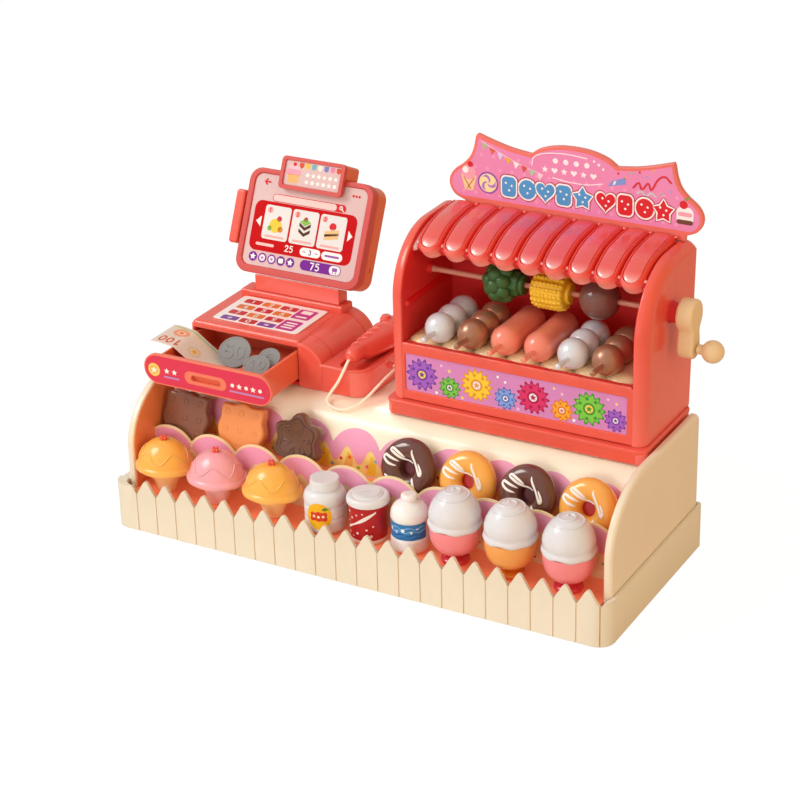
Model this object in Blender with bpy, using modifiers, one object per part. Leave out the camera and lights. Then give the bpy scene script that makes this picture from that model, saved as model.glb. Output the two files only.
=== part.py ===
"""Toy grocery store: a till and a grill kiosk on a display base with toy food.

The origin is on the base's underside, below the middle of the display. +X runs along
the picket fence to the crank side, +Y runs back from the fence, +Z is up. Sizes are real sizes in
millimetres, and MM turns them into Blender's metres.
"""
import math

import bmesh
import bpy
from mathutils import Matrix, Vector

MM = 0.001
GAP = 0.3

# Display base
BASE_X = (-204.0, 198.75)
INNER_HALF_W = 196.25
BASE_D = 165.0
SKIRT_H = 34.0
SKIRT_T = 2.5
CORNER_R = 12.0
BACK_CORNER_R = 3.5
PICKET_PITCH = 17.0
PICKET_TIP = 43.0
PICKET_VALLEY = 32.0
POST_Z = 39.6
PICKET_COUNT = 22
FIRST_GROOVE_X = -181.75
PLATE_T = 2.5
CHEEK_T = 6.0
CHEEK_FRONT_Y = -71.2
CHEEK_SPRING_Z = 60.0
CHEEK_REACH = 58.0
SHELL_T = 2.5
RIM_Z = 107.0
DECK_Z = 99.0
BACK_Y = 79.7
FLOOR_Z = 29.0
TIER_Z = 54.5
TIER_FRONT_Y = -41.5
SCALLOP_PITCH = 38.2
SCALLOP_PEAK_Z = 71.0
SCALLOP_VALLEY_Z = 61.0
FIRST_SCALLOP_X = -176.2
CARD_T = 1.5

# Food
SCOOP_R = 21.95
SUNDAE_R = 18.9
FRONT_ROW_Y = -63.0
BOTTLE_Y = -61.0
SCOOP_X = (-167.6, -123.2, -74.4)
SUNDAE_X = (74.2, 116.9, 160.8)
DONUT_R = 19.7
DONUT_TUBE_R = 7.2
DONUT_X = (20.5, 67.7, 114.2, 160.4)
DONUT_Y = -30.4
LEAN_DEG = 18.0
COOKIE_SIDE = 36.0
COOKIE_T = 9.0

# Till
TILL_X = (-184.6, -89.7)
TILL_Y = (6.5, 81.5)
TILL_TOP = 136.0
TILL_FOOT = DECK_Z + GAP
POD_X = -90.75
POD_Z = 113.5
CRADLE_RIGHT = -34.75
CRADLE_TOP = 120.8
DRAWER_X = (-180.8, -92.0)
DRAWER_Y = (-41.2, 31.0)
DRAWER_Z = (105.0, 127.5)
DRAWER_FLOOR_Z = 111.4
COIN_SHELF_Z = 116.4
FRONT_PLATE_X = -138.5
FRONT_PLATE_Z = 116.2
FRONT_PLATE_W = 111.0
FRONT_PLATE_H = 24.0
MONITOR_AT = (-127.75, 67.5, 158.0)
MONITOR_TILT_DEG = -25.0
MONITOR_U = (-55.5, 51.5)
MONITOR_V = (-3.0, 77.0)
MONITOR_DEPTH = 24.0
HANDSET_X = -50.0
HANDSET_Z = 129.0
CORD_D = 2.2

# Grill kiosk
KIOSK_X = (-8.4, 184.6)
KIOSK_MID_X = 89.25
AWNING_MID_X = 89.5
KIOSK_FRONT_Y = 1.5
KIOSK_BACK_Y = 82.4
KIOSK_TOP_BACK_Y = 87.4
KIOSK_FILLET = (6.6, 8.4)
BACK_EDGE_SHARE = 0.15
KIOSK_FOOT = 110.3
KIOSK_CHEEK_T = 7.5
ARCH_Y = 51.5
ARCH_Z = 184.5
ARCH_R = 50.0
SILL_Z = 153.0
FLUTE_COUNT = 9
FLUTE_PITCH = 19.2
FLUTE_AXIS_R = 44.0
AWNING_IN_R = 41.5
AWNING_START_DEG = 36.0
HUMP_COUNT = 7
HUMP_PITCH = 25.8
HUMP_H = 6.0
SKEWER_Z = 166.0
BALL_R = 10.3
BALL_STEP = 17.5
SPIT_Y = 43.5
SPIT_Z = 196.0
SPIT_R = 2.0
JOURNAL_R = 2.5
CRANK_X = (194.5, 206.0)
CRANK_THROW = 24.0
KNOB_X = 217.3
KNOB_R = 8.0


def clear_scene():
    for obj in list(bpy.data.objects):
        bpy.data.objects.remove(obj, do_unlink=True)


def new_group(name):
    group = bpy.data.collections.new(name)
    bpy.context.scene.collection.children.link(group)
    return group


clear_scene()
PARTS = new_group("toy_grocery_store")
TOOLS = new_group("cutters")


def plastic(name, colour, roughness=0.35, metallic=0.0):
    finish = bpy.data.materials.new(name)
    finish.use_nodes = True
    shader = finish.node_tree.nodes["Principled BSDF"]
    shader.inputs["Base Color"].default_value = (*colour, 1.0)
    shader.inputs["Roughness"].default_value = roughness
    shader.inputs["Metallic"].default_value = metallic
    return finish


CREAM = plastic("cream_plastic", (0.83, 0.72, 0.54))
CORAL = plastic("coral_plastic", (0.86, 0.13, 0.10))
PALE_CORAL = plastic("pale_coral_plastic", (0.87, 0.26, 0.17))
SALMON = plastic("salmon_plastic", (0.83, 0.22, 0.10))
PINK_CARD = plastic("pink_card", (0.86, 0.36, 0.58), 0.5)
WHITE = plastic("white_plastic", (0.85, 0.83, 0.80), 0.3)
ORANGE = plastic("orange_plastic", (0.90, 0.42, 0.06), 0.25)
PINK = plastic("pink_plastic", (0.90, 0.38, 0.40), 0.25)
BROWN = plastic("brown_plastic", (0.13, 0.05, 0.03), 0.25)
TAN = plastic("tan_plastic", (0.45, 0.22, 0.12), 0.3)
RED = plastic("red_plastic", (0.65, 0.02, 0.03), 0.3)
GREEN = plastic("green_plastic", (0.04, 0.14, 0.06), 0.4)
YELLOW = plastic("yellow_plastic", (0.85, 0.50, 0.03), 0.35)
GREY = plastic("grey_plastic", (0.22, 0.23, 0.24), 0.35)
PAPER = plastic("paper", (0.80, 0.76, 0.70), 0.7)
CRIMSON = plastic("crimson_print", (0.80, 0.04, 0.09), 0.4)


def keep_as_tool(obj):
    obj.display_type = "WIRE"
    obj.hide_render = True


def mesh_object(name, bm, finish):
    mesh = bpy.data.meshes.new(name)
    bm.to_mesh(mesh)
    bm.free()
    return shape_object(name, mesh, finish)


def shape_object(name, mesh, finish):
    obj = bpy.data.objects.new(name, mesh)
    if finish is None:
        TOOLS.objects.link(obj)
        keep_as_tool(obj)
    else:
        PARTS.objects.link(obj)
        mesh.materials.clear()
        mesh.materials.append(finish)
    return obj


def soften(obj, width, segments=2, angle=30.0):
    bevel = obj.modifiers.new("rounded_edges", "BEVEL")
    bevel.width = width * MM
    bevel.segments = segments
    bevel.limit_method = "ANGLE"
    bevel.angle_limit = math.radians(angle)


def box(name, x, y, z, finish=None, bevel=0.0, segments=2):
    size = Vector((x[1] - x[0], y[1] - y[0], z[1] - z[0])) * MM
    bm = bmesh.new()
    bmesh.ops.create_cube(bm, size=1.0, matrix=Matrix.Diagonal((*size, 1.0)))
    obj = mesh_object(name, bm, finish)
    obj.location = Vector((x[0] + x[1], y[0] + y[1], z[0] + z[1])) * (MM / 2)
    if bevel:
        soften(obj, bevel, segments)
    return obj


AXES = {
    "X": Matrix(((0, 0, 1), (1, 0, 0), (0, 1, 0))),
    "Y": Matrix(((1, 0, 0), (0, 0, -1), (0, 1, 0))),
    "Z": Matrix.Identity(3),
}


def slab(name, outlines, axis, span, finish=None):
    """A flat outline (or several, or one with holes) drawn square to an axis and given thickness."""
    curve = bpy.data.curves.new(name, "CURVE")
    curve.dimensions = "2D"
    curve.fill_mode = "BOTH"
    curve.extrude = (span[1] - span[0]) / 2 * MM
    for outline in outlines:
        spline = curve.splines.new("POLY")
        spline.points.add(len(outline) - 1)
        for point, (u, v) in zip(spline.points, outline):
            point.co = (u * MM, v * MM, 0.0, 1.0)
        spline.use_cyclic_u = True
    guide = bpy.data.objects.new(name + "_outline", curve)
    TOOLS.objects.link(guide)
    depsgraph = bpy.context.evaluated_depsgraph_get()
    mesh = bpy.data.meshes.new_from_object(guide.evaluated_get(depsgraph))
    weld(mesh)
    bpy.data.objects.remove(guide, do_unlink=True)
    obj = shape_object(name, mesh, finish)
    middle = {"X": (1, 0, 0), "Y": (0, 1, 0), "Z": (0, 0, 1)}[axis]
    shift = Vector(middle) * (span[0] + span[1]) / 2 * MM
    obj.matrix_world = Matrix.Translation(shift) @ AXES[axis].to_4x4()
    return obj


def weld(mesh):
    bm = bmesh.new()
    bm.from_mesh(mesh)
    bmesh.ops.remove_doubles(bm, verts=bm.verts, dist=0.00002)
    bmesh.ops.recalc_face_normals(bm, faces=bm.faces)
    bm.to_mesh(mesh)
    bm.free()


TURNS = {"X": (0.0, math.pi / 2, 0.0), "Y": (-math.pi / 2, 0.0, 0.0), "Z": (0.0, 0.0, 0.0)}


def turned(name, profile, at, axis="Z", steps=16, finish=None, closed=False):
    """A profile of (radius, height) pairs, outer side top to bottom, turned about an axis."""
    bm = bmesh.new()
    points = [bm.verts.new((r * MM, 0.0, h * MM)) for r, h in profile]
    pairs = list(zip(points, points[1:]))
    if closed:
        pairs.append((points[-1], points[0]))
    for pair in pairs:
        bm.edges.new(pair)
    obj = mesh_object(name, bm, finish)
    screw = obj.modifiers.new("turning", "SCREW")
    screw.axis = "Z"
    screw.steps = steps
    screw.render_steps = steps
    screw.use_merge_vertices = True
    screw.merge_threshold = 0.00001
    screw.use_smooth_shade = True
    obj.location = Vector(at) * MM
    obj.rotation_euler = TURNS[axis]
    return obj


def combine(obj, tool, operation):
    step = obj.modifiers.new(operation.lower(), "BOOLEAN")
    step.operation = operation
    step.object = tool
    step.solver = "EXACT"
    return obj


def cut(obj, tool):
    return combine(obj, tool, "DIFFERENCE")


def fuse(obj, tool):
    return combine(obj, tool, "UNION")


def arc(centre, radius, start, end, steps):
    """Points of an arc, with radius as one number or as a pair of half-axes."""
    across, up = radius if isinstance(radius, tuple) else (radius, radius)
    angles = [math.radians(start + (end - start) * i / steps) for i in range(steps + 1)]
    return [(centre[0] + across * math.cos(a), centre[1] + up * math.sin(a)) for a in angles]


def rounded_rectangle(x, y, radius, steps=4, back_radius=None):
    corners = ((x[1], y[1], 0), (x[0], y[1], 90), (x[0], y[0], 180), (x[1], y[0], 270))
    points = []
    for cx, cy, start in corners:
        r = back_radius if back_radius and cy == y[1] else radius
        inset_x = r if cx == x[0] else -r
        inset_y = r if cy == y[0] else -r
        points += arc((cx + inset_x, cy + inset_y), r, start, start + 90, steps)
    return points


def thickened(points, thickness):
    """An open line of points made a closed band, with the thickness on its right-hand side."""
    inner = []
    for i, point in enumerate(points):
        before = Vector(points[max(i - 1, 0)])
        after = Vector(points[min(i + 1, len(points) - 1)])
        here = Vector(point)
        into = (here - before).normalized() if i else (after - here).normalized()
        out = (after - here).normalized() if i < len(points) - 1 else into
        normal_in = Vector((into.y, -into.x))
        normal_out = Vector((out.y, -out.x))
        mitre = (normal_in + normal_out).normalized()
        inner.append(tuple(here + mitre * thickness / mitre.dot(normal_in)))
    return points + inner[::-1]


def smooth_shade(obj, angle=40.0):
    obj.data.shade_smooth()
    obj.data.set_sharp_from_angle(angle=math.radians(angle))


def base_fence():
    half_d = BASE_D / 2
    in_w = INNER_HALF_W
    in_d = half_d - SKIRT_T
    outer = rounded_rectangle(BASE_X, (-half_d, half_d), CORNER_R, 5, BACK_CORNER_R)
    inner = rounded_rectangle((-in_w, in_w), (-in_d, in_d), CORNER_R - SKIRT_T, 5, BACK_CORNER_R - SKIRT_T)
    fence = slab("base_fence", [outer, inner], "Z", (0.0, PICKET_TIP), CREAM)
    last_groove = FIRST_GROOVE_X + PICKET_PITCH * PICKET_COUNT
    cut(fence, box("skirt_trim", (-215, 215), (-half_d + CORNER_R, 100), (SKIRT_H, 60)))
    cut(fence, box("post_trim", (-215, FIRST_GROOVE_X - 4), (-100, -half_d + CORNER_R + 1), (POST_Z, 60)))
    cut(fence, box("corner_trim", (last_groove, 210), (-100, -half_d + CORNER_R + 1), (SKIRT_H, 60)))
    side = ((7.9, PICKET_TIP + 0.6), (6.6, 41.4), (4.2, 37.6), (1.2, 33.3))
    notches = []
    for i in range(PICKET_COUNT + 1):
        x = FIRST_GROOVE_X + PICKET_PITCH * i
        left = [(x - dx, z) for dx, z in side]
        right = [(x + dx, z) for dx, z in reversed(side)]
        notches.append(left + [(x, PICKET_VALLEY)] + right)
    cut(fence, slab("picket_notches", notches, "Y", (-half_d - 3, -half_d + 9)))
    groove_w = 0.45
    groove_d = 0.6
    grooves = []
    for i in range(PICKET_COUNT + 1):
        x = FIRST_GROOVE_X + PICKET_PITCH * i
        front = -half_d + (groove_d if i < PICKET_COUNT else 1.9)
        grooves.append([(x - groove_w, -90), (x + groove_w, -90), (x + groove_w, front), (x - groove_w, front)])
    cut(fence, slab("picket_grooves", grooves, "Z", (-2.0, 50.0)))
    return fence


def base_plate():
    x = INNER_HALF_W - 0.75
    y = BASE_D / 2 - SKIRT_T - 0.75
    outline = rounded_rectangle((-x, x), (-y, y), CORNER_R - SKIRT_T - 0.75, 4)
    return slab("base_plate", [outline], "Z", (0.0, PLATE_T), CREAM)


def panel_profile():
    """The curved display back: from behind the upper tier, over the front of the deck, to the back wall."""
    start = [(-21.6, 40.0), (-21.6, 60.0), (-20.4, 71.0), (-17.4, 81.0)]
    crown = [(-12.4, 89.4), (-5.6, 95.2), (2.0, 98.2), (9.0, DECK_Z)]
    return start + crown + [(BACK_Y - 1.5, DECK_Z), (BACK_Y, DECK_Z - 1.5), (BACK_Y, 2.8)]


def base_shell():
    outer_x = INNER_HALF_W - 0.35
    inner_x = outer_x - CHEEK_T
    spring = CHEEK_FRONT_Y + CHEEK_REACH
    cheek = [(CHEEK_FRONT_Y, 2.8)]
    cheek += arc((spring, CHEEK_SPRING_Z), (CHEEK_REACH, RIM_Z - CHEEK_SPRING_Z), 180, 90, 10)
    cheek += arc((BACK_Y - 6, RIM_Z - 6), 6, 90, 0, 2)
    cheek.append((BACK_Y, 2.8))
    shell = slab("base_shell", [cheek], "X", (-outer_x, -inner_x), CREAM)
    soften(shell, 1.8, 2, 40)
    other = slab("right_cheek", [cheek], "X", (inner_x, outer_x))
    soften(other, 1.8, 2, 40)
    strip = slab("deck_strip", [thickened(panel_profile(), SHELL_T)], "X", (-inner_x - 2.5, inner_x + 2.5))
    fuse(shell, strip)
    fuse(shell, other)
    return shell


def display_tray():
    front = -BASE_D / 2 + SKIRT_T + 1.0
    line = [(front, 2.8), (front, FLOOR_Z), (TIER_FRONT_Y, FLOOR_Z), (TIER_FRONT_Y, TIER_Z)]
    line += [(-22.4, TIER_Z), (-22.4, 42.0)]
    half = INNER_HALF_W - 0.35 - CHEEK_T - GAP
    return slab("display_tray", [thickened(line, 2.0)], "X", (-half, half), SALMON)


def scallop_card():
    half = INNER_HALF_W - 0.35 - CHEEK_T - GAP
    rise = SCALLOP_PEAK_Z - SCALLOP_VALLEY_Z
    radius = ((SCALLOP_PITCH / 2) ** 2 + rise ** 2) / (2 * rise)
    steps = 130
    top = []
    for i in range(steps + 1):
        x = half - 2 * half * i / steps
        away = (x - FIRST_SCALLOP_X + SCALLOP_PITCH / 2) % SCALLOP_PITCH - SCALLOP_PITCH / 2
        top.append((x, SCALLOP_PEAK_Z - radius + math.sqrt(radius ** 2 - away ** 2)))
    outline = [(-half, FLOOR_Z + GAP), (half, FLOOR_Z + GAP)] + top
    back = TIER_FRONT_Y - GAP
    return slab("scallop_card", [outline], "Y", (back - CARD_T, back), PINK_CARD)


def ice_creams():
    dome = [(0, 44.2), (1.9, 43.9), (2.6, 42.6), (2.2, 41.4), (6.0, 40.6), (11.5, 37.8), (16.4, 32.8), (19.6, 26.6)]
    brim = [(20.6, 23.4), (SCOOP_R, 20.6), (20.6, 18.2), (16.0, 16.4)]
    cone = [(11.4, 14.4), (8.4, 7.0), (6.4, 0.6), (5.8, 0.0), (0, 0)]
    for i, x in enumerate(SCOOP_X):
        scoop = turned(
            f"ice_cream_{i + 1}", dome + brim + cone, (x, FRONT_ROW_Y, FLOOR_Z + GAP), "Z", 18, (ORANGE, PINK)[i % 2]
        )
        scoop.scale = (1.0, 0.88, 1.0)


def bottles():
    foot = FLOOR_Z + GAP
    yogurt = [(0, 39.6), (10.0, 39.6), (10.8, 38.8), (10.8, 32.6), (12.2, 32.0), (15.4, 27.0), (15.4, 22.4)]
    yogurt += [(14.5, 21.0), (15.3, 19.6), (15.3, 13.0), (14.6, 11.8), (15.2, 10.6), (14.6, 1.6), (13.4, 0.0), (0, 0)]
    turned("yogurt_bottle", yogurt, (-33.6, BOTTLE_Y, foot), "Z", 18, WHITE)
    cup = [(0, 36.2), (13.6, 36.2), (15.0, 34.8), (15.6, 30.6), (15.6, 29.4), (14.6, 29.0), (13.2, 1.0), (12.4, 0), (0, 0)]
    turned("drink_cup", cup, (4.0, BOTTLE_Y, foot), "Z", 18, RED)
    water = [(0, 42.6), (5.4, 42.6), (6.0, 41.8), (6.0, 38.4), (5.0, 37.8), (9.6, 35.6), (12.8, 31.6), (13.7, 26.6)]
    water += [(13.7, 24.6), (13.1, 23.8), (13.1, 11.6), (13.7, 10.8), (13.7, 2.4), (12.2, 0.0), (0, 0)]
    turned("water_bottle", water, (37.2, BOTTLE_Y, foot), "Z", 18, WHITE)


def sundaes():
    top = [(0, 55.4), (4.4, 54.8), (9.6, 52.0), (13.8, 47.4), (16.6, 41.4), (17.7, 34.8), (17.6, 30.4), (SUNDAE_R, 28.6)]
    bowl = [(SUNDAE_R, 25.2), (18.3, 23.6), (18.0, 19.0), (15.8, 13.0), (11.4, 8.4), (6.4, 6.0)]
    foot = [(6.0, 4.8), (9.4, 3.2), (10.6, 1.4), (10.2, 0.0), (0, 0)]
    for i, x in enumerate(SUNDAE_X):
        turned(f"sundae_{i + 1}", top + bowl + foot, (x, FRONT_ROW_Y, FLOOR_Z + GAP), "Z", 18, (PINK, ORANGE)[i % 2])


def leaning(obj, x, y, z):
    obj.location = Vector((x, y, z)) * MM
    obj.rotation_euler = (math.radians(-LEAN_DEG), 0.0, 0.0)


def wavy_square(side, wave, count):
    points = []
    for corner in range(4):
        for i in range(count * 4):
            s = i / (count * 4)
            along = -side / 2 + side * s
            out = side / 2 - wave / 2 + wave / 2 * math.cos(2 * math.pi * count * s)
            a = math.radians(90 * corner)
            points.append((along * math.cos(a) - -out * math.sin(a), along * math.sin(a) + -out * math.cos(a)))
    return points


def back_row():
    lean = math.radians(LEAN_DEG)
    for i, x in enumerate(DONUT_X):
        ring = arc((DONUT_R - DONUT_TUBE_R, 0.0), DONUT_TUBE_R, 90, -270, 9)[:-1]
        donut = turned(f"donut_{i + 1}", ring, (0, 0, 0), "Z", 18, (BROWN, ORANGE)[i % 2], True)
        rise = (DONUT_R - DONUT_TUBE_R) * math.cos(lean) + DONUT_TUBE_R
        donut.location = Vector((x, DONUT_Y, TIER_Z + GAP + rise)) * MM
        donut.rotation_euler = (math.pi / 2 - lean, 0.0, 0.0)
    rise = COOKIE_SIDE / 2 * math.cos(lean) + COOKIE_T / 2 * math.sin(lean) + 0.4
    for i, x in enumerate((-167.0, -118.4)):
        cookie = slab(
            f"cookie_{i + 1}", [wavy_square(COOKIE_SIDE, 2.4, 4)], "Y", (-COOKIE_T / 2, COOKIE_T / 2), (BROWN, ORANGE)[i]
        )
        cookie.matrix_world = lean_matrix((x, -31.2, TIER_Z + rise)) @ AXES["Y"].to_4x4()
    petals = []
    for i in range(36):
        a = 2 * math.pi * i / 36
        r = 15.4 + 1.9 * math.cos(6 * a)
        petals.append((r * math.sin(a), r * math.cos(a)))
    flower = slab("cookie_3", [petals], "Y", (-5.0, 5.0), BROWN)
    flower.matrix_world = lean_matrix((-71.4, -31.0, TIER_Z + 18.9)) @ AXES["Y"].to_4x4()


def lean_matrix(at):
    return Matrix.Translation(Vector(at) * MM) @ Matrix.Rotation(math.radians(-LEAN_DEG), 4, "X")


def till_housing():
    x = TILL_X
    y = TILL_Y
    body = box("till_housing", x, y, (TILL_FOOT, TILL_TOP), CORAL, 2.6, 2)
    pod = till_pod()
    fuse(body, pod)
    cradle = [(POD_X + 4, y[1]), (POD_X + 4, y[0] + 0.02), (CRADLE_RIGHT - 14, y[0] + 0.02)]
    cradle += arc((CRADLE_RIGHT - 14, y[0] + 14), 14, -90, 0, 4)[1:]
    cradle += [(CRADLE_RIGHT, y[1] - 4), (CRADLE_RIGHT - 4, y[1])]
    side = slab("cradle_block", [cradle], "Z", (TILL_FOOT, CRADLE_TOP))
    soften(side, 1.4, 2, 60)
    fuse(body, side)
    fuse(body, box("neck_ledge", (-177.6, -87.0), (64.5, y[1] - 0.6), (TILL_TOP - 3, TILL_TOP + 5)))
    for i, dx in enumerate((-11.6, 8.6)):
        fuse(body, box(f"saddle_{i}", (HANDSET_X + dx, HANDSET_X + dx + 3), (20, 54), (CRADLE_TOP - 3, CRADLE_TOP + 4)))
    fuse(body, turned("gland", [(0, 3), (2.6, 3), (2.6, 0), (0, 0)], (CRADLE_RIGHT - 1, 44.0, 112.6), "X", 12))
    inner = (x[0] + 2.2, x[1] - 1.5)
    cut(body, box("drawer_mouth", inner, (0, y[0] + 3.6), (90, 130.8)))
    cut(body, box("drawer_bay", inner, (y[0] + 2.5, y[1] - 2.3), (90, 133.4)))
    cut(body, box("cradle_hollow", (x[1] + 1.2, CRADLE_RIGHT - 6), (y[0] + 6.5, y[1] - 2.3), (90, 111.5)))
    return body


def till_pod():
    """The round-topped shoulder that swells a little towards the back."""
    bm = bmesh.new()
    depth = (TILL_Y[1] - TILL_Y[0] - 0.06) * MM
    bmesh.ops.create_cone(
        bm, cap_ends=True, segments=32, radius1=23.0 * MM, radius2=20.5 * MM, depth=depth
    )
    pod = mesh_object("pod", bm, None)
    pod.location = Vector((POD_X, (TILL_Y[0] + TILL_Y[1]) / 2, POD_Z)) * MM
    pod.rotation_euler = (math.pi / 2, 0.0, 0.0)
    cut(pod, box("pod_trim", (POD_X - 30, POD_X + 30), (0, 90), (80, TILL_FOOT + 0.02)))
    return pod


def till_bottom():
    plate = box("till_bottom", (-182.1, -91.6), (8.0, 78.8), (TILL_FOOT, 102.0), CORAL)
    for i, x in enumerate((-172.0, -107.0)):
        fuse(plate, box(f"rail_{i}", (x, x + 4), (9, 78), (101, DRAWER_Z[0] - GAP)))
    return plate


def drawer():
    x, y, z = DRAWER_X, DRAWER_Y, DRAWER_Z
    tray = box("drawer_tray", x, y, z, PALE_CORAL, 1.0, 1)
    cut(tray, box("tray_hollow", (x[0] + 2, x[1] - 2), (y[0] + 2, y[1] - 2), (COIN_SHELF_Z, 140)))
    cut(tray, box("note_well", (x[0] + 2, -127.0), (y[0] + 2, y[1] - 2), (DRAWER_FLOOR_Z, 140)))
    cut(tray, box("tray_underside", (x[0] + 2, x[1] - 2), (y[0] + 2, y[1] - 2), (90, DRAWER_FLOOR_Z - 2)))
    half_w = FRONT_PLATE_W / 2
    half_h = FRONT_PLATE_H / 2
    outline = rounded_rectangle(
        (FRONT_PLATE_X - half_w, FRONT_PLATE_X + half_w), (FRONT_PLATE_Z - half_h, FRONT_PLATE_Z + half_h),
        half_h - 0.05, 6
    )
    slot = rounded_rectangle((FRONT_PLATE_X - 13, FRONT_PLATE_X + 13), (FRONT_PLATE_Z - 4.4, FRONT_PLATE_Z + 0.8), 2.5, 3)
    slab("drawer_front", [outline, slot], "Y", (y[0] - GAP - 3, y[0] - GAP), CRIMSON)


def coin(name, diameter, at, face_up_deg, turn_deg):
    disc = turned(name, [(0, 0.8), (diameter / 2 - 0.3, 0.8), (diameter / 2, 0.5), (diameter / 2, -0.5),
                         (diameter / 2 - 0.3, -0.8), (0, -0.8)], at, "Z", 24, GREY)
    tilt = math.radians(90 - face_up_deg)
    disc.rotation_euler = (tilt, 0.0, math.radians(turn_deg))


NOTE_LINE = (
    (-199.0, 129.4), (-192.0, 129.6), (-184.0, 128.9), (-178.4, 128.2), (-172.0, 124.4), (-165.5, 120.4),
    (-159.0, 116.8), (-153.0, 114.0), (-146.0, 112.4), (-139.0, 112.0), (-128.4, 111.9),
)


def money():
    coin("coin_large", 25.0, (-140.5, -3.2, 121.45), 47.0, 16.0)
    coin("coin_medium", 20.0, (-112.6, -17.0, 121.6), 66.0, 20.0)
    coin("coin_small", 17.0, (-110.4, -3.0, 122.4), 56.0, 14.0)
    bm = bmesh.new()
    rows = []
    for i, (x, z) in enumerate(NOTE_LINE):
        s = i / (len(NOTE_LINE) - 1)
        row = []
        for t in (0.0, 0.33, 0.67, 1.0):
            y = -27.0 + 30.0 * t + 2.6 * (1 - s) * t - 3.0 * s
            row.append(bm.verts.new((x * MM, y * MM, z * MM)))
        rows.append(row)
    for a, b in zip(rows, rows[1:]):
        for j in range(3):
            bm.faces.new((a[j], b[j], b[j + 1], a[j + 1]))
    note = mesh_object("banknote", bm, PAPER)
    sheet = note.modifiers.new("paper", "SOLIDIFY")
    sheet.thickness = 0.4 * MM
    sheet.offset = 0.0


def keypad():
    outline = rounded_rectangle((-170.75, -98.0), (16.5, 62.0), 3.0, 3)
    slab("keypad_plate", [outline], "Z", (TILL_TOP + GAP, TILL_TOP + GAP + 0.8), WHITE)


def tilted(obj):
    """Set a piece that was made flat against the screen's plane onto the tilted monitor."""
    lean = Matrix.Rotation(math.radians(MONITOR_TILT_DEG), 4, "X")
    obj.matrix_world = Matrix.Translation(Vector(MONITOR_AT) * MM) @ lean @ obj.matrix_basis
    return obj


def monitor():
    u, v = MONITOR_U, MONITOR_V
    face = [rounded_rectangle(u, v, 10.0, 4)]
    bezel = slab("monitor_bezel", face, "Y", (0.0, 8.0), CORAL)
    soften(bezel, 1.4, 2, 60)
    tilted(bezel)
    recess = slab("screen_recess", [rounded_rectangle((-50.2, 46.2), (2.8, 73.0), 6.0, 3)], "Y", (-3.0, 1.2))
    cut(bezel, tilted(recess))
    rear = slab("monitor_back", [rounded_rectangle((u[0] + 0.6, u[1] - 0.6), (v[0] + 0.6, v[1] - 0.6), 9.4, 4)], "Y",
                (8.3, MONITOR_DEPTH), PALE_CORAL)
    soften(rear, 2.4, 2, 60)
    tilted(rear)
    hollow = slab("monitor_hollow", [rounded_rectangle((-52.0, 48.0), (0.5, 73.5), 7.0, 3)], "Y", (6.0, 21.5))
    cut(rear, tilted(hollow))
    screen = slab("screen_plate", [rounded_rectangle((-49.8, 45.8), (3.2, 72.6), 5.6, 4)], "Y", (0.3, 0.9), WHITE)
    tilted(screen)
    plate = slab("header_box", [rounded_rectangle((-28.0, 27.0), (63.8, 88.9), 3.5, 3)], "Y", (-4.6, -0.4), CORAL)
    tilted(plate)
    fuse(plate, tilted(box("header_top", (-27.4, 26.4), (-2.0, 14.0), (77.5, 88.3), None, 1.0, 1)))
    bar = box("card_reader", (-65.4, -57.9), (0.0, 14.0), (17.3, 57.6), CORAL, 1.0, 1)
    tilted(bar)
    fuse(bar, tilted(box("reader_web", (-63.0, u[0] - 0.3), (11.0, 17.0), (19.0, 56.0))))
    foot = TILL_TOP + 5 + GAP
    neck = slab("monitor_neck", [[(67.2, foot), (67.2, 154.2), (80.0, 148.2), (80.0, foot)]], "X",
                (-163.75, -92.75), PALE_CORAL)
    return neck


CORD_ROUTE = (
    (-50.0, 14.0, 128.0), (-50.1, 9.6, 127.0), (-51.4, 4.6, 121.0), (-55.0, 1.4, 112.0), (-60.0, -1.2, 103.6),
    (-60.8, -5.2, 98.9), (-55.0, -8.4, 96.6), (-45.6, -8.8, 96.2), (-36.6, -3.4, 99.4), (-31.6, 4.4, 104.2),
    (-28.8, 12.0, 108.6), (-27.2, 20.0, 111.6), (-26.4, 28.5, 113.4), (-26.4, 36.0, 113.8), (-27.4, 41.6, 113.0),
    (-29.4, 43.8, 112.6), (-32.4, 44.0, 112.6),
)


def smooth_route(points, step):
    """Points at an even step along a smooth curve through the given ones."""
    line = [Vector(p) for p in points]
    ends = [line[0] * 2 - line[1]] + line + [line[-1] * 2 - line[-2]]
    fine = []
    for a, b, c, d in zip(ends, ends[1:], ends[2:], ends[3:]):
        for i in range(12):
            t = i / 12
            fine.append(0.5 * (2 * b + (c - a) * t + (2 * a - 5 * b + 4 * c - d) * t * t
                               + (3 * b - a - 3 * c + d) * t ** 3))
    fine.append(line[-1])
    lengths = [(b - a).length for a, b in zip(fine, fine[1:])]
    count = round(sum(lengths) / step)
    even = [fine[0]]
    gone = 0.0
    for a, b, length in zip(fine, fine[1:], lengths):
        while len(even) < count and gone + length >= sum(lengths) / count * len(even):
            share = (sum(lengths) / count * len(even) - gone) / length
            even.append(a.lerp(b, share))
        gone += length
    return even + [fine[-1]]


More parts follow.
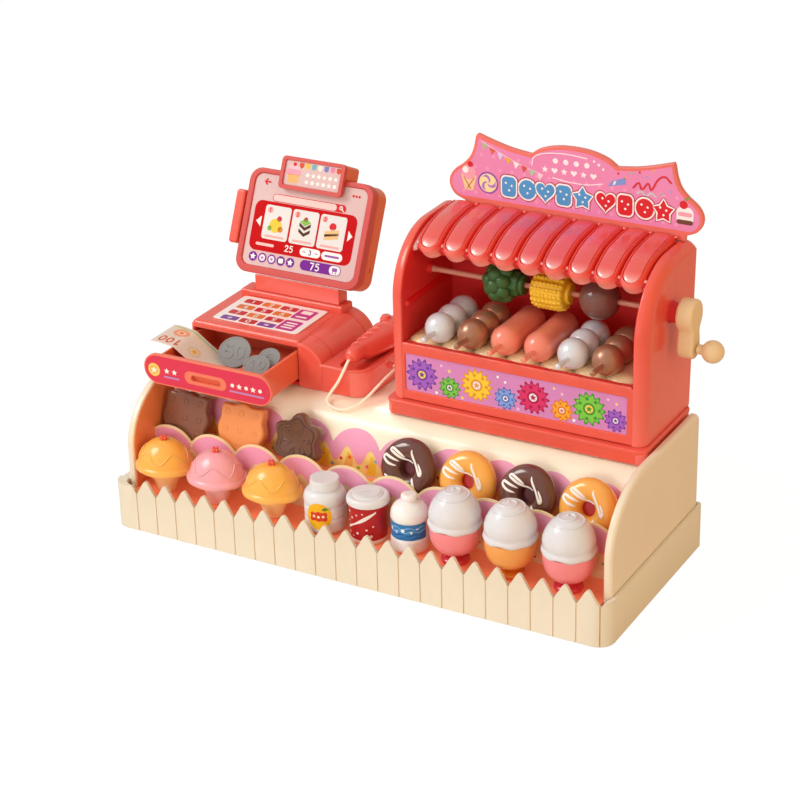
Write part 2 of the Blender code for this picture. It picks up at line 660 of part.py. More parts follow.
def handset_and_cord():
    grip = [(0, 57.0), (5.6, 57.0), (8.0, 54.0), (7.8, 40.0), (7.0, 22.0), (6.4, 8.0), (5.6, 3.0), (3.4, 0.4), (0, 0.0)]
    handset = turned("handset", grip, (HANDSET_X, 14.4, HANDSET_Z), "Y", 16, CORAL)
    head = box("handset_head", (HANDSET_X - 9, HANDSET_X + 9), (56.0, 77.0), (122.0, 138.6), None, 3.4, 2)
    fuse(handset, head)
    for i in range(4):
        y = 30.0 + 5.4 * i
        fuse(handset, box(f"grip_rib_{i}", (HANDSET_X - 4.4, HANDSET_X + 4.4), (y, y + 2.2), (HANDSET_Z + 4, HANDSET_Z + 8.6)))
    curve = bpy.data.curves.new("handset_cord", "CURVE")
    curve.dimensions = "3D"
    curve.bevel_depth = CORD_D / 2 * MM
    curve.bevel_resolution = 2
    curve.use_fill_caps = True
    route = smooth_route(CORD_ROUTE, CORD_D)
    spline = curve.splines.new("POLY")
    spline.points.add(len(route) - 1)
    for point, place in zip(spline.points, route):
        point.co = (*(place * MM), 1.0)
    curve.materials.append(CREAM)
    cord = bpy.data.objects.new("handset_cord", curve)
    PARTS.objects.link(cord)


def arch_outline():
    outline = [(KIOSK_FRONT_Y, KIOSK_FOOT)]
    outline += arc((ARCH_Y, ARCH_Z), ARCH_R, 180, 90, 10)
    outline += arc((KIOSK_TOP_BACK_Y - 8, ARCH_Z + ARCH_R - 8), 8, 90, 0, 4)
    return outline + [(KIOSK_BACK_Y, KIOSK_FOOT)]


def inset(outline, distance):
    """The closed outline moved inwards, with its foot kept at its height and its back edge almost sharp."""
    moved = []
    for i, point in enumerate(outline):
        here = Vector(point)
        into = (here - Vector(outline[i - 1])).normalized()
        out = (Vector(outline[(i + 1) % len(outline)]) - here).normalized()
        normal_in = Vector((into.y, -into.x))
        mitre = (normal_in + Vector((out.y, -out.x))).normalized()
        place = here + mitre * distance / mitre.dot(normal_in)
        if point[1] == KIOSK_FOOT:
            place = here + Vector((math.copysign(distance, mitre.x), 0.0))
        if here.x > ARCH_Y and place.x < here.x:
            place.x = here.x + (place.x - here.x) * BACK_EDGE_SHARE
        moved.append((place.x, place.y))
    return moved


def cheek(name, inner_x, outer_x, finish=None):
    """An arched side wall with one large rounding round its outer edge."""
    depth, width = KIOSK_FILLET
    towards = math.copysign(1.0, outer_x - inner_x)
    rings = [(inner_x, 0.0), (outer_x - towards * depth, 0.0)]
    for i in range(1, 5):
        a = math.pi / 2 * i / 4
        rings.append((outer_x - towards * depth * (1 - math.sin(a)), width * (1 - math.cos(a))))
    bm = bmesh.new()
    loops = []
    for x, distance in rings:
        outline = inset(arch_outline(), distance) if distance else arch_outline()
        loops.append([bm.verts.new((x * MM, y * MM, z * MM)) for y, z in outline])
    count = len(loops[0])
    for a, b in zip(loops, loops[1:]):
        for i in range(count):
            j = (i + 1) % count
            bm.faces.new((a[i], a[j], b[j], b[i]))
    bm.faces.new(loops[0])
    bm.faces.new(loops[-1])
    bmesh.ops.recalc_face_normals(bm, faces=bm.faces)
    wall = mesh_object(name, bm, finish)
    smooth_shade(wall, 35)
    return wall


def kiosk_base():
    outline = rounded_rectangle((-12.5, 187.2), (-2.5, 82.2), 7.0, 4)
    base = slab("kiosk_base", [outline], "Z", (TILL_FOOT, KIOSK_FOOT - GAP), CORAL)
    soften(base, 1.5, 2, 60)
    cut(base, box("base_hollow", (-9.5, 184.2), (0.5, 79.2), (90, 107.5)))
    return base


def kiosk_shell():
    x0, x1 = KIOSK_X
    t = KIOSK_CHEEK_T
    shell = cheek("kiosk_shell", x0 + t, x0, CORAL)
    inside = (x0 + t - 1.9, x1 - t + 1.9)
    fuse(shell, cheek("right_cheek", x1 - t, x1))
    fuse(shell, box("back_wall", inside, (78.6, KIOSK_BACK_Y - 1.4), (KIOSK_FOOT + 0.4, 228.0)))
    fuse(shell, box("front_panel", inside, (KIOSK_FRONT_Y + 0.3, 4.6), (KIOSK_FOOT + 0.3, SILL_Z)))
    fuse(shell, box("top_bar", inside, (74.2, 80.2), (225.0, ARCH_Z + ARCH_R - 0.3)))
    fuse(shell, box("front_ledge", inside, (3.9, 8.0), (144.0, 148.7)))
    fuse(shell, box("rear_ledge", inside, (70.0, 79.2), (144.4, 148.7)))
    rail = arc((ARCH_Y, ARCH_Z), AWNING_IN_R - GAP, 180 - AWNING_START_DEG, 90, 5)
    rail += arc((ARCH_Y, ARCH_Z), AWNING_IN_R - 3, 90, 180 - AWNING_START_DEG, 5)
    fuse(shell, slab("left_rail", [rail], "X", (x0 + t - 1.6, x0 + t + 3)))
    fuse(shell, slab("right_rail", [rail], "X", (x1 - t - 3, x1 - t + 1.6)))
    cut(shell, box("print_recess", (1.75, 172.25), (0, KIOSK_FRONT_Y + 1.2), (117.8, 145.5)))
    cut(shell, turned("bearing_hole", [(0, 20), (5.0, 20), (5.0, 0), (0, 0)], (171, SPIT_Y, SPIT_Z), "X", 20))
    return shell


def front_print():
    outline = rounded_rectangle((2.25, 171.75), (118.3, 145.0), 1.5, 2)
    return slab("front_print", [outline], "Y", (KIOSK_FRONT_Y + 0.1, KIOSK_FRONT_Y + 0.9), PINK_CARD)


def awning():
    """Nine half-round flutes swept over the arch, then run straight back to the sign."""
    half = FLUTE_COUNT * FLUTE_PITCH / 2
    flute_r = FLUTE_PITCH / 2
    section = []
    for i in range(FLUTE_COUNT):
        middle = -half + FLUTE_PITCH * (i + 0.5)
        points = arc((middle, FLUTE_AXIS_R), flute_r, 180, 0, 5)
        section += points if i == 0 else points[1:]
    section += [(half, AWNING_IN_R), (-half, AWNING_IN_R)]
    start = math.radians(AWNING_START_DEG)
    bm = bmesh.new()
    verts = []
    for across, r in section:
        y = ARCH_Y - r * math.cos(start)
        z = ARCH_Z + r * math.sin(start)
        verts.append(bm.verts.new(Vector((AWNING_MID_X + across, y, z)) * MM))
    face = bm.faces.new(verts)
    sweep = bmesh.ops.spin(
        bm, geom=[face] + list(face.verts) + list(face.edges), cent=Vector((0, ARCH_Y, ARCH_Z)) * MM,
        axis=(1, 0, 0), angle=-(math.pi / 2 - start), steps=7, use_merge=False
    )
    last = [g for g in sweep["geom_last"] if isinstance(g, bmesh.types.BMFace)]
    back = bmesh.ops.extrude_face_region(bm, geom=last)
    moved = [g for g in back["geom"] if isinstance(g, bmesh.types.BMVert)]
    bmesh.ops.translate(bm, verts=moved, vec=Vector((0, 73.6 - ARCH_Y, 0)) * MM)
    bmesh.ops.delete(bm, geom=last, context="FACES_ONLY")
    bmesh.ops.recalc_face_normals(bm, faces=bm.faces)
    roof = mesh_object("awning", bm, CORAL)
    smooth_shade(roof, 50)
    return roof


def sign_outline():
    """A wide board with swept ears and a raised middle, the same both sides of its centre line."""
    cx = 97.4
    half = [(0.0, 290.0), (9.0, 289.6), (18.0, 288.0), (26.5, 285.0), (33.0, 280.6)]
    half += [(48.0, 282.6), (62.0, 286.0), (74.6, 289.8), (76.0, 287.4), (77.4, 279.2)]
    half += [(80.6, 272.0), (86.4, 266.0), (92.4, 261.4), (96.4, 255.6), (96.9, 249.0), (93.2, 242.6), (86.6, 239.4)]
    half += [(84.8, 238.8), (84.4, ARCH_Z + ARCH_R + GAP)]
    right = [(cx + dx, z) for dx, z in half]
    left = [(cx - dx, z) for dx, z in half[1:]]
    return right + left[::-1]


def sign_board():
    board = slab("sign_board", [sign_outline()], "Y", (75.2, 79.8), PINK_CARD)
    return board


def grill_tray():
    x0 = KIOSK_X[0] + KIOSK_CHEEK_T + GAP
    x1 = KIOSK_X[1] - KIOSK_CHEEK_T - GAP
    radius = ((HUMP_PITCH / 2) ** 2 + HUMP_H ** 2) / (2 * HUMP_H)
    top_z = 158.3
    steps = 56
    top = []
    for i in range(steps + 1):
        x = x1 + (x0 - x1) * i / steps
        away = (x - KIOSK_MID_X + HUMP_PITCH / 2) % HUMP_PITCH - HUMP_PITCH / 2
        top.append((x, top_z - radius + math.sqrt(radius ** 2 - away ** 2)))
    outline = [(x0, 149.0), (x1, 149.0)] + top
    return slab("grill_tray", [outline], "Y", (4.9, 78.3), CREAM)


def skewers():
    tip = -14.6
    meet = math.degrees(math.asin(BALL_STEP / 2 / BALL_R))
    ball = arc((0.0, 12.5 + 2 * BALL_STEP), BALL_R, 80, -meet, 5)
    ball += arc((0.0, 12.5 + BALL_STEP), BALL_R, meet, -meet, 4)[1:]
    ball += arc((0.0, 12.5), BALL_R, meet, -80, 5)[1:]
    stick_front = [(1.9, 3.4), (1.9, tip + 3.6), (2.5, tip + 2.2), (1.9, tip + 0.4), (0, tip)]
    stick_back = [(0, 63.4), (1.6, 63.4), (1.7, 57.2)]
    sausage = arc((0.0, 52.0), BALL_R - 0.2, 80, 0, 4) + arc((0.0, 13.0), BALL_R - 0.2, 0, -80, 4)
    for i in range(6):
        x = KIOSK_MID_X + HUMP_PITCH * (i - 2.5)
        body = sausage if i in (2, 3) else ball
        finish = (WHITE, TAN, PINK, PINK, WHITE, TAN)[i]
        turned(f"skewer_{i + 1}", stick_back + body + stick_front, (x, 0, SKEWER_Z), "Y", 14, finish)


def spit_and_crank():
    shaft = [(0, 202.0), (JOURNAL_R, 202.0), (JOURNAL_R, 172.0), (SPIT_R, 171.0), (SPIT_R, 5.6), (JOURNAL_R, 5.0)]
    turned("spit_shaft", shaft + [(JOURNAL_R, 1.0), (0, 1.0)], (0, SPIT_Y, SPIT_Z), "X", 14, TAN)
    bore = JOURNAL_R + GAP
    left = [(4.6, 4.6), (4.6, -0.6), (0, -0.6), (0, 0.6), (bore, 0.6), (bore, 4.6)]
    turned("bearing_left", left, (0, SPIT_Y, SPIT_Z), "X", 16, CORAL, True)
    right = [(5.4, 193.9), (5.4, 184.9), (4.6, 184.9), (4.6, 175.4), (bore, 175.4), (bore, 193.9)]
    turned("bearing_right", right, (0, SPIT_Y, SPIT_Z), "X", 16, CORAL, True)
    hole = SPIT_R + GAP
    head = [(hole, 13.4), (5.4, 13.4), (6.2, 8.0), (9.0, 5.0), (13.2, 1.6), (13.6, -5.0), (10.6, -11.0), (5.6, -13.4)]
    turned("broccoli", head + [(hole, -13.4)], (61.9, SPIT_Y, SPIT_Z), "X", 14, GREEN, True)
    cob = [(hole, 14.0), (9.0, 14.0), (12.2, 11.0), (13.2, 4.0), (13.2, -8.0), (11.6, -12.6), (8.4, -14.0), (hole, -14.0)]
    turned("corn_cob", cob, (96.9, SPIT_Y, SPIT_Z), "X", 14, YELLOW, True)
    meat = [(hole, 13.4)] + arc((0.0, 0.0), 13.8, 74, -74, 8) + [(hole, -13.4)]
    turned("meatball", meat, (133.5, SPIT_Y, SPIT_Z), "X", 16, TAN, True)
    crank()


def crank():
    low = SPIT_Z - CRANK_THROW
    hub = arc((SPIT_Y, SPIT_Z), 11.6, -32, 212, 14)
    foot = arc((SPIT_Y, low), 7.6, 190, 350, 10)
    waist = SPIT_Z - 13.5
    outline = hub + [(SPIT_Y - 7.4, waist)] + foot + [(SPIT_Y + 7.4, waist)]
    arm = slab("crank_arm", [outline], "X", CRANK_X, CREAM)
    soften(arm, 1.6, 2, 60)
    pin = turned("crank_pin", [(0, 12.2), (1.8, 12.2), (1.8, 0), (0, 0)], (CRANK_X[1] - 2, SPIT_Y, low), "X", 12)
    fuse(arm, pin)
    bore = turned("hub_bore", [(0, 12), (2.8, 12), (2.8, 0), (0, 0)], (CRANK_X[0] - 4.2, SPIT_Y, SPIT_Z), "X", 14)
    cut(arm, bore)
    screw_well = turned("screw_well", [(0, 5), (2.4, 5), (2.4, 0), (0, 0)], (CRANK_X[1] - 2.2, SPIT_Y, SPIT_Z), "X", 12)
    cut(arm, screw_well)
    ball = arc((0.0, 0.0), KNOB_R, 90, -62, 7)
    knob = ball + [(3.6, -7.4), (3.6, -10.9), (2.1, -10.9), (2.1, -0.6), (0, -0.6)]
    turned("crank_knob", knob, (KNOB_X, SPIT_Y, low), "X", 16, CREAM)


base_fence()
base_plate()
base_shell()
display_tray()
scallop_card()
ice_creams()
bottles()
sundaes()
back_row()
till_housing()
till_bottom()
drawer()
money()
keypad()
monitor()
handset_and_cord()
kiosk_base()
kiosk_shell()
front_print()
awning()
sign_board()
grill_tray()
skewers()
spit_and_crank()
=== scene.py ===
from math import asin, atan2, ceil, copysign, cos, degrees, exp, hypot, pi, radians, sin, sqrt

import bmesh
import bpy
from mathutils import Matrix, Vector


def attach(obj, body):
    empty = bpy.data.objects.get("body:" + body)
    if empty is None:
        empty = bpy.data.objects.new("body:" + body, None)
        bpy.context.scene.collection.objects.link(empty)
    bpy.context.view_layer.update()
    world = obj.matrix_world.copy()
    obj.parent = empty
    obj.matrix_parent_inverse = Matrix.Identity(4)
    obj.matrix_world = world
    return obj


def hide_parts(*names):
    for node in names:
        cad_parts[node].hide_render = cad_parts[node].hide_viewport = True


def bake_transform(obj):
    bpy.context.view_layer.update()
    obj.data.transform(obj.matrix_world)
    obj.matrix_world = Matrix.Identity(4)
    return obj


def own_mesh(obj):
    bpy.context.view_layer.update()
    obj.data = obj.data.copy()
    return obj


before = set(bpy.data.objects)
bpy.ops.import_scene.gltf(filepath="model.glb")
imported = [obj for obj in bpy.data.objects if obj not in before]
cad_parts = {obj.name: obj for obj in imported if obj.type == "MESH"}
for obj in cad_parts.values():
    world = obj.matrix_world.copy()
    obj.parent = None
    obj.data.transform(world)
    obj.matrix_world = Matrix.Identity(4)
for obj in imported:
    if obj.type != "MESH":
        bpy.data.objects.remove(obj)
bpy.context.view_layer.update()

# Viewpoint. The toy is seen from a little above its front left to right corner, through a
# long lens, so that its uprights stay nearly parallel. Sizes below are the toy's own
# millimetres, and MM turns them into metres.
MM = 0.001
VIEW_TURN, VIEW_DIP, VIEW_ROLL = (radians(a) for a in (29.65, 25.18, -1.61))
ahead = Vector((-sin(VIEW_TURN) * cos(VIEW_DIP), cos(VIEW_TURN) * cos(VIEW_DIP), -sin(VIEW_DIP)))
level = Vector((cos(VIEW_TURN), sin(VIEW_TURN), 0))
upright = level.cross(ahead)
rolled = level * cos(VIEW_ROLL) + upright * sin(VIEW_ROLL)
raised = upright * cos(VIEW_ROLL) - level * sin(VIEW_ROLL)
SENSOR, FOCAL_PIXELS, PICTURE_PIXELS = 36, 2249.86, 800
lens_data = bpy.data.cameras.new("viewpoint")
lens_data.sensor_width = SENSOR
lens_data.lens = FOCAL_PIXELS / PICTURE_PIXELS * SENSOR
lens_data.clip_start, lens_data.clip_end = 0.05, 20
viewpoint = bpy.data.objects.new("viewpoint", lens_data)
bpy.context.scene.collection.objects.link(viewpoint)
viewpoint.matrix_world = Matrix((
    (rolled.x, raised.x, -ahead.x, 0.71983), (rolled.y, raised.y, -ahead.y, -1.26904),
    (rolled.z, raised.z, -ahead.z, 0.79576), (0, 0, 0, 1),
))
bpy.context.scene.camera = viewpoint
bpy.context.scene.view_settings.view_transform = "Standard"


# Light and floor. One soft box stands high on the left, a strip behind the toy lights only the deck,
# a low wide one fills the recesses, and a weak warm one stands on the right in a white room that
# warms that way too. The floor is a pale matte sheet that keeps the shadow.
def wire(tree, socket, value):
    """A socket set to a value, or linked to another socket or to the result of a node."""
    if isinstance(value, bpy.types.Node):
        value = value.outputs[2 if value.type == "MIX" else 0]
    if isinstance(value, bpy.types.NodeSocket):
        tree.links.new(value, socket)
    else:
        socket.default_value = value


def put(tree, kind, values=None, **settings):
    """A shader node with its settings and its sockets."""
    made = tree.nodes.new("ShaderNode" + kind)
    for key, value in settings.items():
        setattr(made, key, value)
    for socket, value in (values or {}).items():
        wire(tree, made.inputs[socket], value)
    return made


def maths(tree, operation, *values):
    return put(tree, "Math", dict(enumerate(values)), operation=operation)


def mapped(tree, value, low, high, to_low, to_high):
    """A value fitted from one range to another and held inside it."""
    return put(tree, "MapRange", {0: value, 1: low, 2: high, 3: to_low, 4: to_high})


def tinted(tree, share, none, full):
    """A colour between two, by a share from 0 to 1."""
    return put(tree, "Mix", {0: share, 6: none, 7: full}, data_type="RGBA")


def position(tree):
    """Where a point is on the toy, as X, Y and Z in metres."""
    return put(tree, "SeparateXYZ", {0: put(tree, "TexCoord").outputs["Object"]}).outputs


for name, at, aim, size, watts, tint in (
    ("key_light", (-1.16, -0.84, 1.36), (0, 0, 0.1), (0.8, 0.8), 15, (1, 0.98, 0.95)),
    ("deck_strip_light", (-0.52, 0.66, 0.95), (0, 0, 0.1), (1.3, 0.24), 22, (1, 1, 1)),
    ("low_front_light", (-0.15, -1.7, 0.36), (0, 0, 0.14), (1.3, 0.5), 7.6, (1, 0.985, 0.97)),
    ("right_side_light", (1.45, -0.42, 0.62), (0.1, 0, 0.12), (0.8, 0.7), 3.4, (1, 0.88, 0.7)),
):
    data = bpy.data.lights.new(name, "AREA")
    data.shape = "RECTANGLE"
    data.size, data.size_y = size
    data.energy = watts
    data.color = tint
    lamp = bpy.data.objects.new(name, data)
    lamp.location = at
    lamp.rotation_euler = (Vector(aim) - Vector(at)).to_track_quat("-Z", "Y").to_euler()
    lamp.visible_glossy = name in ("key_light", "deck_strip_light")
    bpy.context.scene.collection.objects.link(lamp)

room = bpy.data.worlds.new("white_room")
bpy.context.scene.world = room
room.use_nodes = True
air = room.node_tree
air.nodes.clear()
seen = put(air, "LightPath").outputs
plain = maths(air, "MAXIMUM", seen["Is Camera Ray"], seen["Is Transmission Ray"])
across_room = put(air, "SeparateXYZ", {0: put(air, "TexCoord").outputs["Generated"]}).outputs["X"]
room_tint = tinted(air, mapped(air, across_room, 0.05, 0.75, 0, 1), (1, 0.99, 0.975, 1), (1.28, 0.76, 0.3, 1))
fill_air = put(air, "Background", {"Color": room_tint, "Strength": 0.6})
white_air = put(air, "Background", {"Color": (1, 1, 1, 1), "Strength": 1})
put(air, "OutputWorld", {"Surface": put(air, "MixShader", {0: plain, 1: fill_air, 2: white_air})})

floor_mesh = bpy.data.meshes.new("floor")
floor_mesh.from_pydata([(-6, -6, -0.0004), (6, -6, -0.0004), (6, 6, -0.0004), (-6, 6, -0.0004)], [], [(0, 1, 2, 3)])
floor = bpy.data.objects.new("floor", floor_mesh)
bpy.context.scene.collection.objects.link(floor)
pale_sheet = bpy.data.materials.new("pale_floor_sheet")
pale_sheet.use_nodes = True
sheet = pale_sheet.node_tree
sheet.nodes.clear()
ray = put(sheet, "LightPath").outputs
matte = put(sheet, "BsdfDiffuse", {"Color": (0.74, 0.66, 0.56, 1)})
white = put(sheet, "Emission", {"Color": (1, 1, 1, 1), "Strength": 1.05})
dim = put(sheet, "Emission", {"Color": (0.55, 0.36, 0.24, 1), "Strength": 1})
lit = put(sheet, "MixShader", {0: maths(sheet, "MULTIPLY", ray["Is Camera Ray"], 0.93), 1: matte, 2: white})
put(sheet, "OutputMaterial", {"Surface": put(sheet, "MixShader", {0: ray["Is Glossy Ray"], 1: lit, 2: dim})})
floor_mesh.materials.append(pale_sheet)


# Handset cord. A thin cream rubber cord runs out of the handset's nose, hangs over the front of
# the deck in one open loop and goes back into a small gland on the side of the cradle.
def srgb(code):
    """A colour as a print shop writes it, RRGGBB, made linear."""
    parts = [int(code[i:i + 2], 16) / 255 for i in (0, 2, 4)]
    return (*[c / 12.92 if c <= 0.04045 else ((c + 0.055) / 1.055) ** 2.4 for c in parts], 1)


def effect_group(name, sockets_in, sockets_out):
    """A shared effect: its tree, its inputs and its output node. Kinds are Color, Float and Vector."""
    group = bpy.data.node_groups.new(name, "ShaderNodeTree")
    for label, kind, value in sockets_in:
        made = group.interface.new_socket(label, in_out="INPUT", socket_type="NodeSocket" + kind)
        made.default_value = value
    for label, kind in sockets_out:
        group.interface.new_socket(label, in_out="OUTPUT", socket_type="NodeSocket" + kind)
    return group, group.nodes.new("NodeGroupInput").outputs, group.nodes.new("NodeGroupOutput").inputs


skin, given, wanted = effect_group(
    "moulded_skin",
    [("Colour", "Color", (0.8, 0.8, 0.8, 1)), ("Gloss", "Float", 0.35), ("Peel", "Float", 0.25),
     ("Grain", "Float", 900), ("Mottle", "Float", 0.06), ("Edge Wear And Highlight", "Float", 0.25)],
    [("Colour", "Color"), ("Roughness", "Float"), ("Normal", "Vector")],
)
where = put(skin, "TexCoord").outputs["Object"]
peel = put(skin, "TexNoise", {"Vector": where, "Scale": given["Grain"], "Detail": 2})
flow = put(skin, "TexNoise", {"Vector": where, "Scale": 16, "Detail": 3})
fine = put(skin, "TexNoise", {"Vector": where, "Scale": 3200, "Detail": 1})
lift = maths(skin, "MULTIPLY", mapped(skin, flow, 0.25, 0.75, -1, 1), given["Mottle"])
shaded = put(skin, "HueSaturation", {"Value": maths(skin, "ADD", lift, 1), "Color": given["Colour"]})
# Convex edges, found by pointiness, are lightened: partly light wear and partly a painted highlight along the edges.
edge = mapped(skin, put(skin, "NewGeometry").outputs["Pointiness"], 0.53, 0.62, 0, 1)
pale = put(skin, "HueSaturation", {"Saturation": 0.82, "Value": 1.22, "Color": shaded})
worn_and_highlit = tinted(skin, maths(skin, "MULTIPLY", edge, given["Edge Wear And Highlight"]), shaded, pale)
polish = maths(skin, "ADD", mapped(skin, flow, 0.25, 0.75, -0.045, 0.045), given["Gloss"])
dusty = maths(skin, "ADD", mapped(skin, fine, 0.45, 0.75, 0, 0.06), polish)
orange_peel = put(skin, "Bump", {"Strength": given["Peel"], "Distance": 0.00008, "Height": peel})
for label, node in (("Colour", worn_and_highlit), ("Roughness", dusty), ("Normal", orange_peel)):
    wire(skin, wanted[label], node)


def skinned(name, group, values, paint=None, **sockets):
    """A material whose colour, roughness and normal come from a shared effect."""
    made = bpy.data.materials.new(name)
    made.use_nodes = True
    tree = made.node_tree
    shader = tree.nodes["Principled BSDF"]
    if paint:
        values = {**values, "Colour": paint(tree)}
    surface = put(tree, "Group", node_tree=group)
    for label, value in values.items():
        wire(tree, surface.inputs[label], value)
    for label, socket in (("Colour", "Base Color"), ("Roughness", "Roughness"), ("Normal", "Normal")):
        wire(tree, shader.inputs[socket], surface.outputs[label])
    for label, value in sockets.items():
        shader.inputs[label].default_value = value
    return made


def moulded(name, colour, gloss=0.35, peel=0.25, grain=900, mottle=0.05, wear_and_highlight=0.2, coat=0, soft=0, paint=None,
        more=()):
    """Injection-moulded plastic. paint, where given, makes the colour from nodes of its own."""
    values = {"Colour": srgb(colour), "Gloss": gloss, "Peel": peel, "Grain": grain, "Mottle": mottle,
        "Edge Wear And Highlight": wear_and_highlight}
    sockets = {
        "Coat Weight": coat, "Coat Roughness": 0.12, "Subsurface Weight": soft,
        "Subsurface Radius": (1, 0.45, 0.25), "Subsurface Scale": 0.004,
    }
    return skinned(name, skin, values, paint, **{**sockets, **dict(more)})


def smooth_route(points, step, closed=False):
    """Points at an even step along a smooth curve through the given ones."""
    line = [Vector(p) for p in points]
    if closed:
        ends = [line[-1]] + line + [line[0], line[1]]
    else:
        ends = [line[0] * 2 - line[1]] + line + [line[-1] * 2 - line[-2]]
    fine_line = []
    for a, b, c, d in zip(ends, ends[1:], ends[2:], ends[3:]):
        for i in range(12):
            t = i / 12
            fine_line.append(0.5 * (2 * b + (c - a) * t + (2 * a - 5 * b + 4 * c - d) * t * t
                                    + (3 * b - a - 3 * c + d) * t ** 3))
    fine_line.append(line[0] if closed else line[-1])
    lengths = [(b - a).length for a, b in zip(fine_line, fine_line[1:])]
    count = max(2, round(sum(lengths) / step))
    even = [fine_line[0]]
    gone = 0
    for a, b, length in zip(fine_line, fine_line[1:], lengths):
        while len(even) < count and gone + length >= sum(lengths) / count * len(even):
            even.append(a.lerp(b, (sum(lengths) / count * len(even) - gone) / max(length, 1e-9)))
        gone += length
    return even if closed else even + [fine_line[-1]]


def turns(count, part=1):
    """Angles at an even step round a circle, or round a part of it."""
    return [2 * pi * part * k / count for k in range(count)]


def bridged(bm, rings, closed=False, ends=False):
    """Faces between each ring of corners and the next. A ring of one corner is a tip."""
    for a, b in list(zip(rings, rings[1:])) + ([(rings[-1], rings[0])] if closed else []):
        for k in range(max(len(a), len(b))):
            corners = [a[k % len(a)], a[(k + 1) % len(a)], b[(k + 1) % len(b)], b[k % len(b)]]
            corners = [c for i, c in enumerate(corners) if c not in corners[:i]]
            if len(corners) > 2:
                bm.faces.new(corners)
    if ends:
        bm.faces.new(rings[0])
        bm.faces.new(rings[-1])
    return bm


def flat_route(points, step):
    return [(p.x, p.y) for p in smooth_route([(u, v, 0) for u, v in points], step)]


def strand(bm, points, radius, sides=10, closed=False, flat=1, out=None):
    """A round or flattened bead laid along points, in millimetres, with rounded-off ends."""
    points = [Vector(p) for p in points]
    count = len(points)
    rings = []
    across = None
    for i, point in enumerate(points):
        before, after = (points[i - 1], points[(i + 1) % count]) if closed else (points[max(i - 1, 0)],
            points[min(i + 1, count - 1)])
        along = (after - before).normalized()
        if out is not None:
            across = along.cross(out(point).normalized()).normalized()
        elif across is None:
            across = along.orthogonal().normalized()
        else:
            across = (across - along * across.dot(along)).normalized()
        up = across.cross(along)
        r = radius(i / max(count - 1, 1)) if callable(radius) else radius
        rings.append([bm.verts.new((point + across * r * cos(a) + up * r * flat * sin(a)) * MM)
            for a in turns(sides)])
    bridged(bm, rings, closed)
    if not closed:
        for ring, end, inner in ((rings[0], points[0], points[1]), (rings[-1], points[-1], points[-2])):
            r = (ring[0].co / MM - end).length
            tip = bm.verts.new((end + (end - inner).normalized() * r * 0.7) * MM)
            bridged(bm, [ring, [tip]])


def shaped(name, bm, finish, slot, *nodes, body="base", sharp=38):
    """A piece from a finished mesh: its plastic, the nodes it stands for and the body it moves with. slot is not used.
    """
    bmesh.ops.recalc_face_normals(bm, faces=bm.faces)
    mesh = bpy.data.meshes.new(name)
    bm.to_mesh(mesh)
    bm.free()
    obj = bpy.data.objects.new(name, mesh)
    bpy.context.scene.collection.objects.link(obj)
    mesh.materials.append(finish)
    mesh.shade_smooth()
    mesh.set_sharp_from_angle(angle=radians(sharp))
    if body:
        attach(obj, body)
    if nodes:
        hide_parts(*nodes)
    return obj


def faced(*piece, **settings):
    """A piece whose flat faces stay flat in the light while their rounded edges turn smoothly."""
    obj = shaped(*piece, **settings)
    modifier = obj.modifiers.new("even_light", "WEIGHTED_NORMAL")
    modifier.keep_sharp = True
    modifier.weight = 60
    return obj


CORD_D = 2.2
CORD_ROUTE = (
    (-50, 14, 128), (-50.1, 9.6, 127), (-51.4, 4.6, 121), (-55, 1.4, 112), (-60, -1.2, 103.6),
    (-60.8, -5.2, 98.9), (-55, -8.4, 96.6), (-45.6, -8.8, 96.2), (-36.6, -3.4, 99.4), (-31.6, 4.4, 104.2),
    (-28.8, 12, 108.6), (-27.2, 20, 111.6), (-26.4, 28.5, 113.4), (-26.4, 36, 113.8), (-27.4, 41.6, 113),
    (-29.4, 43.8, 112.6), (-32.4, 44, 112.6),
)
cream_rubber = moulded("cream_rubber", "FFF3DC", gloss=0.42, peel=0.15, mottle=0.03)
cord_line = smooth_route(CORD_ROUTE, 1.4)
cord_mesh = bmesh.new()
strand(cord_mesh, cord_line, CORD_D / 2, 14)
cord = shaped("curled_cord", cord_mesh, cream_rubber, "cream", "handset_cord", body=None)
cord_length = sum((b - a).length for a, b in zip(cord_line, cord_line[1:])) * MM
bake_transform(cord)


# Display base. A cream moulded skirt stands round the foot of the display, and its front is cut
# as a row of pointed pickets with a fine sunk line between them. Satin plastic, about 2.5 mm thick.
def loop_arc(centre, radius, start, end, steps):
    across, up = radius if isinstance(radius, tuple) else (radius, radius)
    angles = [radians(start + (end - start) * i / steps) for i in range(steps + 1)]
    return [(centre[0] + across * cos(a), centre[1] + up * sin(a)) for a in angles]


def rounded_box(x, y, radius, steps=10, back_radius=None):
    corners = ((x[1], y[1], 0), (x[0], y[1], 90), (x[0], y[0], 180), (x[1], y[0], 270))
    points = []
    for cx, cy, start in corners:
        r = back_radius if back_radius and cy == y[1] else radius
        points += loop_arc((cx + (r if cx == x[0] else -r), cy + (r if cy == y[0] else -r)), r, start, start + 90,
            steps)
    return points


FACING = {
    "X": Matrix(((0, 0, 1, 0), (1, 0, 0, 0), (0, 1, 0, 0), (0, 0, 0, 1))),
    "Y": Matrix(((1, 0, 0, 0), (0, 0, -1, 0), (0, 1, 0, 0), (0, 0, 0, 1))),
    "Z": Matrix.Identity(4),
}


